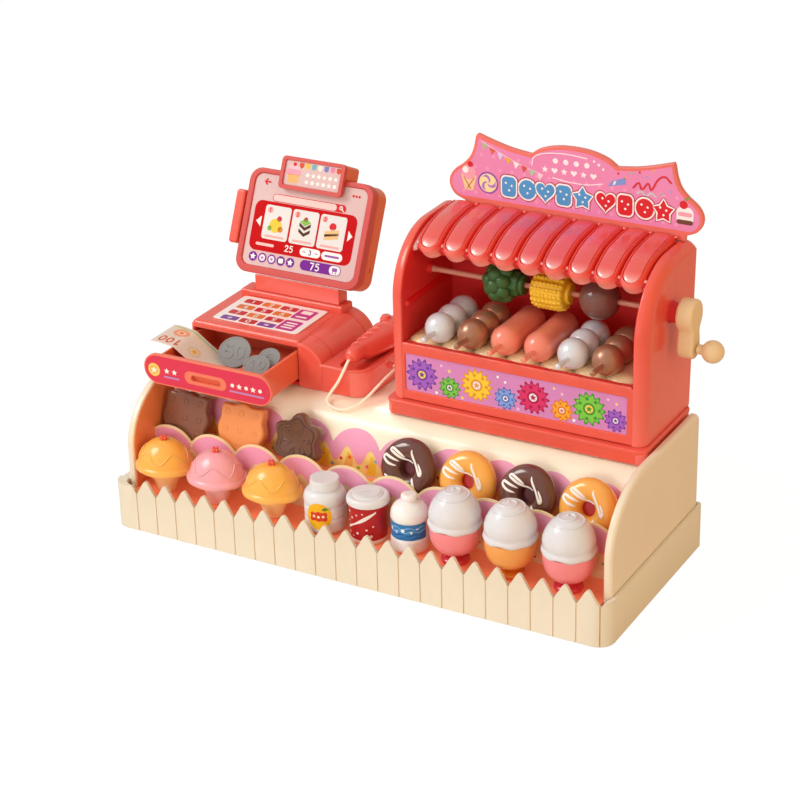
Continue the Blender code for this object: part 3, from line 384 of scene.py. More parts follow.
def cut_sheet(outlines, span):
    """Flat outlines in millimetres, holes among them, filled and given thickness: a closed mesh in metres."""
    guide = bpy.data.curves.new("outline_guide", "CURVE")
    guide.dimensions = "2D"
    guide.fill_mode = "BOTH"
    guide.extrude = (span[1] - span[0]) / 2 * MM
    for outline in outlines:
        spline = guide.splines.new("POLY")
        spline.points.add(len(outline) - 1)
        for point, (u, v) in zip(spline.points, outline):
            point.co = (u * MM, v * MM, 0, 1)
        spline.use_cyclic_u = True
    carrier = bpy.data.objects.new("outline_carrier", guide)
    bpy.context.scene.collection.objects.link(carrier)
    mesh = bpy.data.meshes.new_from_object(carrier.evaluated_get(bpy.context.evaluated_depsgraph_get()))
    bpy.data.objects.remove(carrier, do_unlink=True)
    bpy.data.curves.remove(guide)
    bm = bmesh.new()
    bm.from_mesh(mesh)
    bpy.data.meshes.remove(mesh)
    bmesh.ops.remove_doubles(bm, verts=bm.verts, dist=0.000004)
    bmesh.ops.dissolve_limit(bm, angle_limit=0.002, verts=bm.verts, edges=bm.edges)
    bmesh.ops.translate(bm, verts=bm.verts, vec=(0, 0, (span[0] + span[1]) / 2 * MM))
    return bm


def plate(outlines, axis, span, place=None):
    """cut_sheet set square to an axis, or onto a place of its own."""
    bm = cut_sheet(outlines, span)
    bmesh.ops.transform(bm, matrix=(place or Matrix.Identity(4)) @ FACING[axis], verts=bm.verts)
    bmesh.ops.recalc_face_normals(bm, faces=bm.faces)
    return bm


def block(x, y, z, place=None):
    return plate([[(x[0], y[0]), (x[1], y[0]), (x[1], y[1]), (x[0], y[1])]], "Z", z, place)


def loose(bm):
    mesh = bpy.data.meshes.new("work")
    bm.to_mesh(mesh)
    bm.free()
    obj = bpy.data.objects.new("work", mesh)
    bpy.context.scene.collection.objects.link(obj)
    return obj


def joined(bm, *steps, edge=0, segments=2, angle=35):
    """A mesh after its cuts and unions, with its edges rounded: steps are pairs of CUT or ADD and a mesh."""
    obj = loose(bm)
    tools = []
    for operation, tool in steps:
        other = loose(tool)
        tools.append(other)
        step = obj.modifiers.new("step", "BOOLEAN")
        step.operation = operation
        step.object = other
        step.solver = "EXACT"
    if edge:
        bevel = obj.modifiers.new("edge", "BEVEL")
        bevel.width = edge * MM
        bevel.segments = segments
        bevel.limit_method = "ANGLE"
        bevel.angle_limit = radians(angle)
        bevel.harden_normals = False
    mesh = bpy.data.meshes.new_from_object(obj.evaluated_get(bpy.context.evaluated_depsgraph_get()))
    done = bmesh.new()
    done.from_mesh(mesh)
    bpy.data.meshes.remove(mesh)
    for spare in [obj] + tools:
        data = spare.data
        bpy.data.objects.remove(spare, do_unlink=True)
        bpy.data.meshes.remove(data)
    return done


CUT, ADD = "DIFFERENCE", "UNION"
PICKET_PITCH, FIRST_GROOVE, PICKETS = 17, -181.75, 22


def picket_groove_shade(tree):
    """Cream, with painted shade in the sunk line between two pickets, drawn tan."""
    spot = position(tree)
    run = mapped(tree, spot["X"], FIRST_GROOVE * MM, (FIRST_GROOVE + PICKET_PITCH * 100) * MM, 0.5, 100.5)
    away = maths(tree, "ABSOLUTE", maths(tree, "SUBTRACT", maths(tree, "FRACT", run), 0.5))
    share = mapped(tree, away, 0.02, 0.034, 1, 0)
    for axis, *span in (
        ("Y", -0.0824, -0.082, 0, 1), ("Y", -0.0795, -0.079, 1, 0),
        ("X", -0.184, -0.1835, 0, 1), ("X", 0.1935, 0.194, 1, 0),
    ):
        share = maths(tree, "MULTIPLY", share, mapped(tree, spot[axis], *span))
    return tinted(tree, share, srgb("E7DFCB"), srgb("D6B47E"))


cream_satin = moulded("cream_satin", "ECDEC6", gloss=0.38, peel=0.18, grain=700, mottle=0.03)
picket_cream = moulded("picket_cream", "E8DCC6", gloss=0.46, peel=0.22, grain=700, mottle=0.03, paint=picket_groove_shade)
skirt_out = rounded_box((-204, 198.75), (-82.5, 82.5), 12, 14, 3.5)
skirt_in = rounded_box((-196.25, 196.25), (-80, 80), 9.5, 12, 1)
side = ((8.3, 45), (8.3, 42.2), (7.8, 42.1), (7.1, 41.7), (6.5, 41), (5.8, 39.8), (4.4, 37.4), (3, 35), (1.8, 33),
    (1.1, 31.8), (0.6, 31.1))
notches, grooves = [], []
for i in range(PICKETS + 1):
    x = FIRST_GROOVE + PICKET_PITCH * i
    notches.append([(x - dx, z) for dx, z in side] + [(x, 30.8)] + [(x + dx, z) for dx, z in reversed(side)])
    front = -82.1 if i < PICKETS else -80.7
    grooves.append([(x - 0.42, -90), (x + 0.42, -90), (x + 0.42, front), (x - 0.42, front)])
fence = joined(
    plate([skirt_out, skirt_in], "Z", (0, 42.4)),
    (CUT, block((-215, 215), (-70.5, 100), (34, 60))),
    (CUT, block((-215, FIRST_GROOVE - 4), (-100, -69.5), (35.8, 60))),
    (CUT, block((192.25, 210), (-100, -69.5), (34, 60))),
    (CUT, plate(notches, "Y", (73.5, 85.5))),
    edge=0.4, segments=3, angle=40,
)
fence = joined(fence, (CUT, plate(grooves, "Z", (-2, 50))))
faced("picket_skirt", fence, picket_cream, "cream", "base_fence", sharp=50)
footing = joined(plate([rounded_box((-195.5, 195.5), (-79.25, 79.25), 8.75, 8)], "Z", (0, 2.5)), edge=0.5)
shaped("foot_plate", footing, cream_satin, "cream", "base_plate")


# Display shell. Two cream end cheeks with a rolled rim carry one curved sheet, which rises behind
# the upper shelf, rolls over into the deck and comes down again as the back. Glossier than the skirt.
def inset_loop(outline, distance, foot, back=1, back_from=None):
    """The closed outline moved inwards. Points at the foot keep their height."""
    moved = []
    for i, point in enumerate(outline):
        here = Vector(point)
        into = (here - Vector(outline[i - 1])).normalized()
        out = (Vector(outline[(i + 1) % len(outline)]) - here).normalized()
        normal_in = Vector((into.y, -into.x))
        mitre = (normal_in + Vector((out.y, -out.x))).normalized()
        place = here + mitre * distance / mitre.dot(normal_in)
        if abs(point[1] - foot) < 1e-6:
            place = here + Vector((copysign(distance, mitre.x), 0))
        if back_from is not None and here.x > back_from and place.x < here.x:
            place.x = here.x + (place.x - here.x) * back
        moved.append((place.x, place.y))
    return moved


def rimmed_wall(outline, rings, foot, back=1, back_from=None):
    """A side wall lofted through rings of (x, inset), so that its rim is rolled and not just chamfered."""
    bm = bmesh.new()
    loops = []
    for x, distance in rings:
        line = inset_loop(outline, distance, foot, back, back_from) if distance else outline
        loops.append([bm.verts.new((x * MM, y * MM, z * MM)) for y, z in line])
    bridged(bm, loops, ends=True)
    bmesh.ops.recalc_face_normals(bm, faces=bm.faces)
    return bm


def rolled_rim(inner, outer, inner_r, outer_r, outer_inset=None, steps=7):
    towards = copysign(1, outer - inner)
    outer_inset = outer_inset or outer_r
    rings = [(inner + towards * inner_r * (1 - cos(pi / 2 * i / 3)), inner_r * (1 - sin(pi / 2 * i / 3)))
        for i in range(4)]
    for i in range(steps + 1):
        a = pi / 2 * i / steps
        rings.append((outer - towards * outer_r * (1 - sin(a)), outer_inset * (1 - cos(a))))
    return rings


BASE_FOOT, DECK_Z = 2.8, 99.3
base_arch = [(-71.2, BASE_FOOT)] + loop_arc((-13.2, 60), (58, 47), 180, 90, 44)
base_arch += loop_arc((73.7, 101), 6, 90, 0, 10) + [(79.7, BASE_FOOT)]
cream_gloss = moulded("cream_gloss", "F0E2CA", gloss=0.3, peel=0.16, grain=620, mottle=0.03, coat=0.5)
for label, inner, outer in (("left", -189.9, -195.9), ("right", 189.9, 195.9)):
    wall = rimmed_wall(base_arch, rolled_rim(inner, outer, 1.2, 3), BASE_FOOT)
    faced(f"display_cheek_{label}", wall, cream_gloss, "cream", "base_shell")


def over_back(steps=1.6):
    """The sheet's line seen from the side, front bottom first, evenly stepped."""
    rise = [Vector((y, z, 0)) for y, z in (
        (-21.6, 60), (-20.4, 71), (-17.4, 81), (-12.4, 89.4), (-5.6, 95.2), (2, 98.2), (9, 99), (16, 99))]
    curve = [(p.x, p.y) for p in smooth_route(rise, steps)]
    crown = loop_arc((77.7, 97), 2, 90, 0, 5)
    return [(-21.6, 40), (-21.6, 50)] + curve + crown + [(79.7, BASE_FOOT)]


def banded(points, thickness):
    """An open line made a closed band, with the thickness on its right-hand side."""
    inner = []
    for i, point in enumerate(points):
        before, after, here = (Vector(points[max(i - 1, 0)]), Vector(points[min(i + 1, len(points) - 1)]),
            Vector(point))
        into = (here - before).normalized() if i else (after - here).normalized()
        out = (after - here).normalized() if i < len(points) - 1 else into
        normal_in = Vector((into.y, -into.x))
        mitre = (normal_in + Vector((out.y, -out.x))).normalized()
        inner.append(tuple(here + mitre * thickness / mitre.dot(normal_in)))
    return points + inner[::-1]


sheet_line = over_back()
deck = plate([banded(sheet_line[:-1], 2.5)], "X", (-191.5, 191.5))
faced("display_deck", deck, cream_gloss, "cream", "base_shell")
back_wall = block((-191.5, 191.5), (77.2, 79.7), (BASE_FOOT, 97))
shaped("display_back", back_wall, cream_gloss, "cream", "base_shell")
deck_only = bpy.data.collections.new("deck_only")
deck_only.objects.link(bpy.data.objects["display_deck"])
bpy.data.objects["deck_strip_light"].light_linking.receiver_collection = deck_only

# Orange liners stand against the inner faces of the two cheeks, a little short of the rolled rim.
liner = inset_loop(base_arch, 1.7, BASE_FOOT)
liner_edge = [p for p in liner if p[0] < -9 and p[1] > BASE_FOOT]
liner_back = [p for p in sheet_line if 50 <= p[1] <= 91.5 and p[0] < -5]
liner_loop = [(liner_edge[0][0], 20)] + liner_edge + [(y - 0.2, z) for y, z in reversed(liner_back)] + [(-21.8, 20)]
liner_orange = moulded("liner_orange", "EE8A4E", gloss=0.34, peel=0.18, mottle=0.04)
for label, span in (("left", (-189.95, -189.35)), ("right", (189.35, 189.95))):
    faced(f"cheek_liner_{label}", plate([liner_loop], "X", span), liner_orange, "salmon")


# Display tray. A salmon insert makes the lower floor and the upper shelf inside the shell. It is
# thin glossy plastic with rounded folds, and a cream lip closes the slit behind the pickets.
FLOOR_Z, SHELF_Z = 29.3, 54.5
tray_line = [(-79, BASE_FOOT), (-79, 29), (-41.5, 29), (-41.5, SHELF_Z), (-22.4, SHELF_Z), (-22.4, 42)]
# The insert also glows faintly in salmon: painted light that lifts its shaded floor.
tray_salmon = moulded("tray_salmon", "FB8E66", gloss=0.27, peel=0.16, mottle=0.05, coat=0.2, soft=0.3,
                       more={"Emission Color": srgb("F4764A"), "Emission Strength": 0.16})
tray = joined(plate([banded(tray_line, 2)], "X", (-189.55, 189.55)), edge=0.6, segments=3)
faced("shelf_insert", tray, tray_salmon, "salmon", "display_tray")
lip = joined(block((-189.4, 189.4), (-79.7, -77.4), (29.05, 31.1)), edge=0.6, segments=3)
faced("floor_lip", lip, cream_gloss, "cream")


# Scalloped card. A die-cut strip stands in front of the upper shelf. Its face is printed pink
# with a cream border, and the pink runs down in drips over a yellow ground. Semi-gloss print on card.
print_skin, given, wanted = effect_group(
    "printed_face",
    [("Colour", "Color", (0.8, 0.4, 0.6, 1)), ("Varnish", "Float", 0.42), ("Fibre", "Float", 0.12)],
    [("Colour", "Color"), ("Roughness", "Float"), ("Normal", "Vector")],
)
spot = put(print_skin, "TexCoord").outputs["Object"]
dots = put(print_skin, "TexVoronoi", {"Vector": spot, "Scale": 1500, "Randomness": 0.25}).outputs["Distance"]
cloud = put(print_skin, "TexNoise", {"Vector": spot, "Scale": 60, "Detail": 3})
fibre = put(print_skin, "TexNoise", {"Vector": spot, "Scale": 2200, "Detail": 2})
specks, drift = mapped(print_skin, dots, 0.1, 0.6, 0.975, 1.02), mapped(print_skin, cloud, 0.3, 0.7, 0.98, 1.02)
inked = put(print_skin, "HueSaturation",
    {"Value": maths(print_skin, "MULTIPLY", specks, drift), "Color": given["Colour"]})
sheen = maths(print_skin, "ADD", mapped(print_skin, cloud, 0.3, 0.7, -0.05, 0.05), given["Varnish"])
tooth = put(print_skin, "Bump", {"Strength": given["Fibre"], "Distance": 0.00003, "Height": fibre})
for label, node in (("Colour", inked), ("Roughness", sheen), ("Normal", tooth)):
    wire(print_skin, wanted[label], node)


def printed(name, varnish=0.42, fibre_depth=0.12, **sockets):
    """Ink on card, vinyl or paper. Each shape of a print keeps its ink as a colour on its own faces."""
    def ink(tree):
        return put(tree, "Attribute", attribute_name="ink").outputs["Color"]
    return skinned(name, print_skin, {"Varnish": varnish, "Fibre": fibre_depth}, ink, **sockets)


vinyl_print = printed("vinyl_print", 0.34, 0.08)
paper_print = printed("paper_print", 0.62, 0.3)


def flat_place(at, axis="Y", lean=None):
    """A print's own (across, up, out) in millimetres, set on a flat face that looks along -Y, +Z or +X."""
    turn = {"Y": Matrix(((1, 0, 0), (0, 0, -1), (0, 1, 0))), "Z": Matrix.Identity(3),
        "X": Matrix(((0, 0, 1), (1, 0, 0), (0, 1, 0)))}[axis]
    hold = lean or Matrix.Identity(4)

    def place(u, v, w):
        return hold @ ((turn @ Vector((u, v, w)) + Vector(at)) * MM)
    return place


INK_T = 0.05


def lay_print(name, shapes, place, slot, finish=vinyl_print, body="base", bend=None, first=0.03, rise=0):
    """Shapes of (ink, outlines), each a thin film laid above the one before it and bent to its surface.

    bend is the size of the strips, across and up, that a film is divided into before it is bent.
    """
    whole = bmesh.new()
    ink_layer = whole.loops.layers.float_color.new("ink")
    for order, (ink, outlines) in enumerate(shapes):
        low = first + rise * order
        film = cut_sheet(outlines, (low, low + INK_T))
        if bend:
            us = [v.co.x / MM for v in film.verts]
            vs = [v.co.y / MM for v in film.verts]
            for pitch, values, normal in ((bend[0], us, (1, 0, 0)), (bend[1], vs, (0, 1, 0))):
                if not pitch:
                    continue
                at = ceil(min(values) / pitch) * pitch
                while at < max(values):
                    bmesh.ops.bisect_plane(film, geom=film.verts[:] + film.edges[:] + film.faces[:],
                        plane_co=Vector(normal) * at * MM, plane_no=normal)
                    at += pitch
        colour = srgb(ink)
        index = {}
        for v in film.verts:
            index[v] = whole.verts.new(place(v.co.x / MM, v.co.y / MM, v.co.z / MM))
        for f in film.faces:
            made = whole.faces.new([index[v] for v in f.verts])
            for corner in made.loops:
                corner[ink_layer] = colour
        film.free()
    obj = shaped(name, whole, finish, slot, body=body, sharp=60)
    obj.data.color_attributes.active_color = obj.data.color_attributes["ink"]
    return obj


def disc(x, y, r, steps=20):
    return [(x + r * cos(a), y + r * sin(a)) for a in turns(steps)]


SCALLOP_PITCH, FIRST_SCALLOP, SCALLOP_TOP, SCALLOP_DIP = 38.2, -176.2, 71, 61
scallop_rise = SCALLOP_TOP - SCALLOP_DIP
scallop_r = ((SCALLOP_PITCH / 2) ** 2 + scallop_rise ** 2) / (2 * scallop_rise)


def scallop(x, down=0):
    away = (x - FIRST_SCALLOP + SCALLOP_PITCH / 2) % SCALLOP_PITCH - SCALLOP_PITCH / 2
    return SCALLOP_TOP - scallop_r + sqrt(max((scallop_r - down) ** 2 - away ** 2, 0))


def graph(low, high, x0, x1, step):
    """A shape between two lines that run from x0 to x1."""
    count = max(2, round((x1 - x0) / step))
    xs = [x0 + (x1 - x0) * i / count for i in range(count + 1)]
    return [(x, low(x)) for x in xs] + [(x, high(x)) for x in reversed(xs)]


def drips(x, first, pitch, level_z, depth):
    """The lower line of running glaze: round drops with narrow arches between them."""
    a = cos(2 * pi * (x - first) / pitch)
    return level_z - depth * (a if a > 0 else a * 1.15)


card_back = -41.8
card = plate([graph(lambda x: FLOOR_Z, scallop, -189.4, 189.4, 1.6)], "Y", (-card_back, -card_back + 1.5))
card_cream = moulded("card_cream", "F6E2B0", gloss=0.5, peel=0.1, mottle=0.03)
faced("scallop_strip", joined(card, edge=0.25, segments=2, angle=50), card_cream, "pink_card", "scallop_card")
card_shapes = []
for k in range(11):
    middle = FIRST_SCALLOP + SCALLOP_PITCH * k
    lo, hi = max(middle - 18.2, -188.8), min(middle + 18.2, 188.8)
    if hi - lo > 4:
        card_shapes.append(("F2AACB",
            [graph(lambda x: drips(x, FIRST_SCALLOP + 9, 19.1, 52, 3.4), lambda x: scallop(x, 1.7), lo, hi, 1.3)]))
for k in range(44):
    at = -184 + 8.6 * k
    card_shapes.append((("E8517A", "6FB6DC", "8CC152", "F0A32F")[k % 4],
        [disc(at, 40 + 5.5 * sin(k * 2.4), 1.1, 12)]))
lay_print("scallop_print", card_shapes, flat_place((0, card_back - 1.5, 0), "Y"), "pink_card")


# Back band. A vinyl sticker is rolled onto the curved sheet behind the upper shelf: pink glaze with
# a scalloped top runs down over a yellow ground with paper flags and confetti.
BAND_PITCH, BAND_FIRST = 38.9, -28.7
reach = [0]
for a, b in zip(sheet_line[1:], sheet_line[2:]):
    reach.append(reach[-1] + (Vector(b) - Vector(a)).length)


def on_sheet(u, v, w):
    """A point of the sticker: v is the way up along the sheet from z 50."""
    k = max(i for i, r in enumerate(reach) if r <= max(v, 0) + 1e-9)
    k = min(k, len(reach) - 2)
    a, b = Vector(sheet_line[1 + k]), Vector(sheet_line[2 + k])
    along = (b - a).normalized()
    here = a + along * (v - reach[k])
    out = Vector((-along.y, along.x))
    spot_at = here + out * w
    return Vector((u, spot_at.x, spot_at.y)) * MM


def band_top(x):
    away = (x - BAND_FIRST + BAND_PITCH / 2) % BAND_PITCH - BAND_PITCH / 2
    r = 20.6
    return 38.4 - r + sqrt(max(r * r - away * away, 0))


def band_drip(x):
    return drips(x, BAND_FIRST + 2.4, BAND_PITCH / 2, 17.5, 5.6)


band_shapes = [("F8DF86", [graph(lambda x: 4.8, lambda x: band_drip(x) + 1, -189.2, 189.2, 1.3)])]
for k in range(19):
    at = -186 + 19.45 * k + BAND_FIRST % 19.45
    band_shapes.append((("F5CE3A", "F0B85A")[k % 2],
        [[(at, 5.2), (at + 7.4, 5.2), (at + 9, 17), (at + 4.4, 20.5)]]))
confetti = ("D9404B", "8CC63F", "6BB7E3", "E0641F", "E86FA0")
for k in range(52):
    at = -186 + 7.25 * k
    band_shapes.append((confetti[(k * 3) % 5], [disc(at, 8.5 + 4.2 * (1 + sin(k * 1.9)), 1.35, 14)]))
band_shapes.append(("F0A4C6", [graph(band_drip, band_top, -189.2, 189.2, 1.1)]))
lay_print("back_band", band_shapes[:1], on_sheet, "pink_card", bend=(0, 1.6))
lay_print("back_band_marks", band_shapes[1:-1], on_sheet, "pink_card", bend=(0, 3), first=0.09)
lay_print("back_band_glaze", band_shapes[-1:], on_sheet, "pink_card", bend=(0, 1.6), first=0.15)


# Ice creams. Three hollow one-piece mouldings stand in the tray, orange, pink and orange: a dome
# with a raised wavy line, a rolled brim with its parting seam, a short cone, and a red berry on top.
TURN_TO = {"Z": Matrix.Identity(3), "X": Matrix(((0, 0, 1), (0, 1, 0), (-1, 0, 0))),
    "Y": Matrix(((1, 0, 0), (0, 0, 1), (0, -1, 0)))}


def rounded_profile(points, step=0.9, corner=None):
    """A profile of (radius, height) resampled through a smooth curve; points given twice stay sharp."""
    runs, run = [], [points[0]]
    for a, b in zip(points, points[1:]):
        if a == b:
            runs.append(run)
            run = [b]
        else:
            run.append(b)
    runs.append(run)
    line = []
    for run in runs:
        if len(run) > 2:
            part = flat_route(run, step)
        else:
            part = list(run)
        line += part if not line else part[1:]
    return line


def turned(profile, at=(0, 0, 0), axis="Z", steps=48, closed=False, warp=None, bm=None, squeeze=(1, 1), place=None):
    """A profile of (radius, height), top to bottom, turned about an axis.

    warp, where given, moves a point from (angle, r, h) to a new (r, h).
    """
    bm = bm or bmesh.new()
    rings = []
    for r, h in profile:
        ring = []
        for a in turns(steps)[:1 if r < 1e-6 else steps]:
            rr, hh = warp(a, r, h) if warp else (r, h)
            point = (TURN_TO[axis] @ Vector((rr * cos(a) * squeeze[0], rr * sin(a) * squeeze[1],
                hh)) + Vector(at)) * MM
            ring.append(bm.verts.new(place @ point if place else point))
        rings.append(ring)
    return bridged(bm, rings, closed)


def radius_at(profile, h):
    """The outer radius of a falling profile at a height."""
    for (r0, h0), (r1, h1) in zip(profile, profile[1:]):
        if h1 <= h <= h0:
            return r0 if h0 == h1 else r0 + (r1 - r0) * (h0 - h) / (h0 - h1)
    return profile[-1][0]


def ball(r, steps=8, flat=1):
    """The profile of a ball, from its top to its foot."""
    line = [(r * sin(pi * k / steps), r * flat * cos(pi * k / steps)) for k in range(1, steps)]
    return [(0, r * flat), *line, (0, -r * flat)]


SCOOP_R = 21.95
scoop_line = rounded_profile(
    [(0, 41), (4, 40.85), (8.6, 39.4), (12.6, 36.6), (16.2, 32.4), (18.6, 27.8), (19.7, 24.4), (19.9, 23.4),
        (19.9, 23.4),
     (20.9, 22.9), (21.8, 21.6), (SCOOP_R, 20.2), (21.5, 18.9), (20.2, 17.8), (17, 16.6), (13.4, 15.6),
         (11.9, 14.9), (11.9, 14.9),
     (10.6, 11.4), (9, 7.4), (7.2, 2.4), (6.6, 0.5), (6.2, 0), (6.2, 0), (0, 0)], 0.8)


def brim(a, r, h):
    """The brim sways a little, and a fine seam crosses it at the front."""
    if 15.8 < h < 23.2 and r > 15:
        share = sin(pi * (h - 15.8) / 7.4)
        seam = 0.35 * exp(-((sin(a + pi / 2) / 0.03) ** 2)) if cos(a + pi / 2) > 0 else 0
        return r - seam * share, h + 0.35 * sin(6 * a) * share
    return r, h


def fading(low, high, below, above):
    """Paint that goes from one colour to another between two heights, in metres."""
    return lambda tree: tinted(tree, mapped(tree, position(tree)["Z"], low, high, 0, 1), srgb(below), srgb(above))


# Both are painted paler from the middle of the dome down to the brim: a painted glow and highlight.
sweet_orange = moulded("sweet_orange", "F6AC3A", gloss=0.24, peel=0.12, mottle=0.04, coat=0.35, soft=0.22,
    paint=fading(0.03, 0.052, "FFE2B4", "FCB650"))
sweet_pink = moulded("sweet_pink", "F6A3AE", gloss=0.24, peel=0.12, mottle=0.04, coat=0.35, soft=0.22,
    paint=fading(0.03, 0.052, "FBD2CE", "F2A8B2"))
berry_red = moulded("berry_red", "EA4A30", gloss=0.16, peel=0.05, mottle=0.05, coat=0.6, soft=0.1)
for i, x in enumerate((-167.6, -122.2, -74.4)):
    at = Vector((x, -63, FLOOR_Z))
    squeeze = (1.05, 0.92)
    bm = turned(scoop_line, at, "Z", 84, warp=brim, squeeze=squeeze)
    line = []
    for k in range(160):
        a = 2 * pi * k / 160
        h = 30.6 + 3.3 * sin(5 * (a - 0.25 + 0.5 * i))
        r = radius_at(scoop_line, h) + 0.05
        line.append(at + Vector((r * cos(a) * squeeze[0], r * sin(a) * squeeze[1], h)))
    strand(bm, line, 0.6, 8, closed=True)
    plastic = (sweet_orange, sweet_pink)[i % 2]
    shaped(f"scoop_{i + 1}", bm, plastic, ("orange", "pink")[i % 2], f"ice_cream_{i + 1}", sharp=60)
    berry = bmesh.new()
    for dx, dy, dz, r in ((0, 0, 41.4, 2.3), (1.9, -0.6, 42.2, 1.5), (-1.6, 0.8, 42.6, 1.4), (0.5, 1.4, 43, 1.2),
            (-0.2, -1.6, 41.8, 1.4)):
        turned(ball(r), at + Vector((dx, dy, dz)), "Z", 14, bm=berry)
    strand(berry, [at + Vector((0.4, 0, 42.4)), at + Vector((0.9, 0.1, 43.4)), at + Vector((1.5, 0.3, 43.9))], 0.28,
        8)
    shaped(f"berry_{i + 1}", berry, berry_red, "red", sharp=70)


# Bottles. A white yogurt jar with a ribbed cap and an oval label, a drink cup with a printed red
# sleeve under a white lid, and a cloudy water bottle with a blue wave label. Labels carry no words.
def around(centre, radius, lift=0):
    """A print wrapped on a turned piece: u runs round it from its front, v up, w out."""
    def place(u, v, w):
        r = radius(v) + lift
        a = -pi / 2 + u / r
        return Vector((centre[0] + (r + w) * cos(a), centre[1] + (r + w) * sin(a), centre[2] + v)) * MM
    return place


bottle_white = moulded("bottle_white", "E2E4E8", gloss=0.3, peel=0.15, mottle=0.02, coat=0.25, soft=0.15)
jar_at = Vector((-31.4, -61, FLOOR_Z))
jar_line = rounded_profile(
    [(0, 39.5), (9.4, 39.5), (10.2, 39.1), (10.6, 38.2), (10.6, 38.2), (10.75, 33), (10.75, 33), (9.9, 32.6),
        (10.2, 32), (10.2, 32),
     (12.4, 31.2), (14.3, 29.4), (15.3, 26.6), (15.35, 23.4), (15.1, 22.4), (14.6, 21.6), (14.6, 20.6),
         (15.1, 19.8), (15.3, 19),
     (15.3, 14), (15, 13), (14.6, 12.4), (14.6, 11.6), (15, 11), (15.2, 10), (14.9, 4), (14.2, 1.4), (12.8, 0),
         (12.8, 0), (0, 0)], 0.8)


def ribbed(a, r, h):
    if 33.2 < h < 38.4 and r > 10:
        return r - 0.28 * (0.5 + 0.5 * cos(24 * a)), h
    return r, h


jar = turned(jar_line, jar_at, "Z", 96, warp=ribbed)
shaped("yogurt_jar", jar, bottle_white, "white", "yogurt_bottle", sharp=42)
on_jar = around(jar_at, lambda v: 15.36)
oval = [(9.6 * cos(a), 15.4 + 10.4 * sin(a)) for a in turns(36)]
fruit = [(-6.4, 17.6), (-5, 19), (-2.6, 18.4), (0, 19.4), (2.8, 18.6), (5.4, 19.2), (6.6, 17.4), (5.9, 15.4),
    (6.7, 13.2), (5.2, 11.6),
         (2.6, 12.2), (0, 11.3), (-2.8, 12.3), (-5.4, 11.5), (-6.8, 13.2), (-5.9, 15.4)]
leaf = [(2.2, 21), (4.6, 22.8), (7.2, 21.6), (6, 20.4), (4, 20.2)]
jar_dots = [disc(-3.4, 15.6, 1, 12), disc(0, 15.2, 1, 12), disc(3.4, 15.6, 1, 12)]
lay_print("yogurt_label", [("F2B81C", [oval]), ("D23A1E", [fruit]), ("4E8A2A", [leaf]), ("FBE9C8", jar_dots)],
    lambda u, v, w: on_jar(u + 3.1, v, w), "yellow", bend=(1.6, 0), rise=0.045)

cup_at = Vector((4, -61, FLOOR_Z))
lid_line = rounded_profile(
    [(0, 35.6), (9.2, 35.6), (10.2, 35.5), (10.9, 34.9), (11.6, 34.6), (13, 34.7), (14.2, 34.4), (15.1, 33.4),
        (15.5, 31.8), (15.55, 30),
     (15.2, 29.3), (14.6, 29.2), (14.6, 29.2), (0, 29.2)], 0.7)
shaped("cup_lid", turned(lid_line, cup_at, "Z", 64), bottle_white, "white", sharp=45)
shaped("lid_disc", joined(turned(rounded_profile([(0, 36.15), (8, 36.15), (8.6, 35.9), (8.8, 35.3), (8.8, 35.3),
    (0, 35.3)], 0.5), cup_at, "Z", 48),
       (CUT, block((-0.45, 0.45), (-4.4, 2.6), (35.75, 37),
           Matrix.Translation(cup_at * MM) @ Matrix.Rotation(radians(-62), 4, "Z")))), bottle_white, "white",
           sharp=40)


cup_red = moulded("cup_red", "B5151C", gloss=0.34, peel=0.08, mottle=0.04, coat=0.2,
    paint=fading(0.0325, 0.0328, "F3E9DF", "B5151C"))
cup_line = rounded_profile([(0, 29.4), (14.4, 29.4), (14.4, 29.4), (14.35, 28), (13.3, 3), (13.3, 3), (13.5, 2.4),
    (13.1, 0.6), (12.4, 0), (12.4, 0), (0, 0)], 1.2)
shaped("drink_cup_body", turned(cup_line, cup_at, "Z", 64), cup_red, "red", "drink_cup", sharp=45)
on_cup = around(cup_at, lambda v: 13.25 + 0.0425 * v)
swash = graph(lambda x: 13 + 0.62 * (x + 8) - 0.9 - 0.4 * sin(x * 0.35),
    lambda x: 13 + 0.62 * (x + 8) + 1.4 + 0.5 * sin(x * 0.35), -11, 13, 1)
cup_marks = [disc(-9.5, 8, 0.9, 12), disc(-5.4, 6, 0.6, 12), disc(-1.5, 9, 1, 12), disc(3.5, 6.4, 0.7, 12),
    disc(8.6, 7.2, 1.2, 12), disc(5.6, 12.4, 0.8, 12),
             disc(10.4, 15, 0.7, 12), disc(-6, 20.4, 0.9, 12), disc(-1.6, 23.4, 0.7, 12), disc(3, 25, 0.6, 12),
                 disc(-10, 16.8, 0.6, 12), disc(-9, 24.6, 1, 12)]
lay_print("cup_print", [("F4EDE6", [swash]), ("F4D9D4", cup_marks)], on_cup, "white", bend=(1.4, 0))

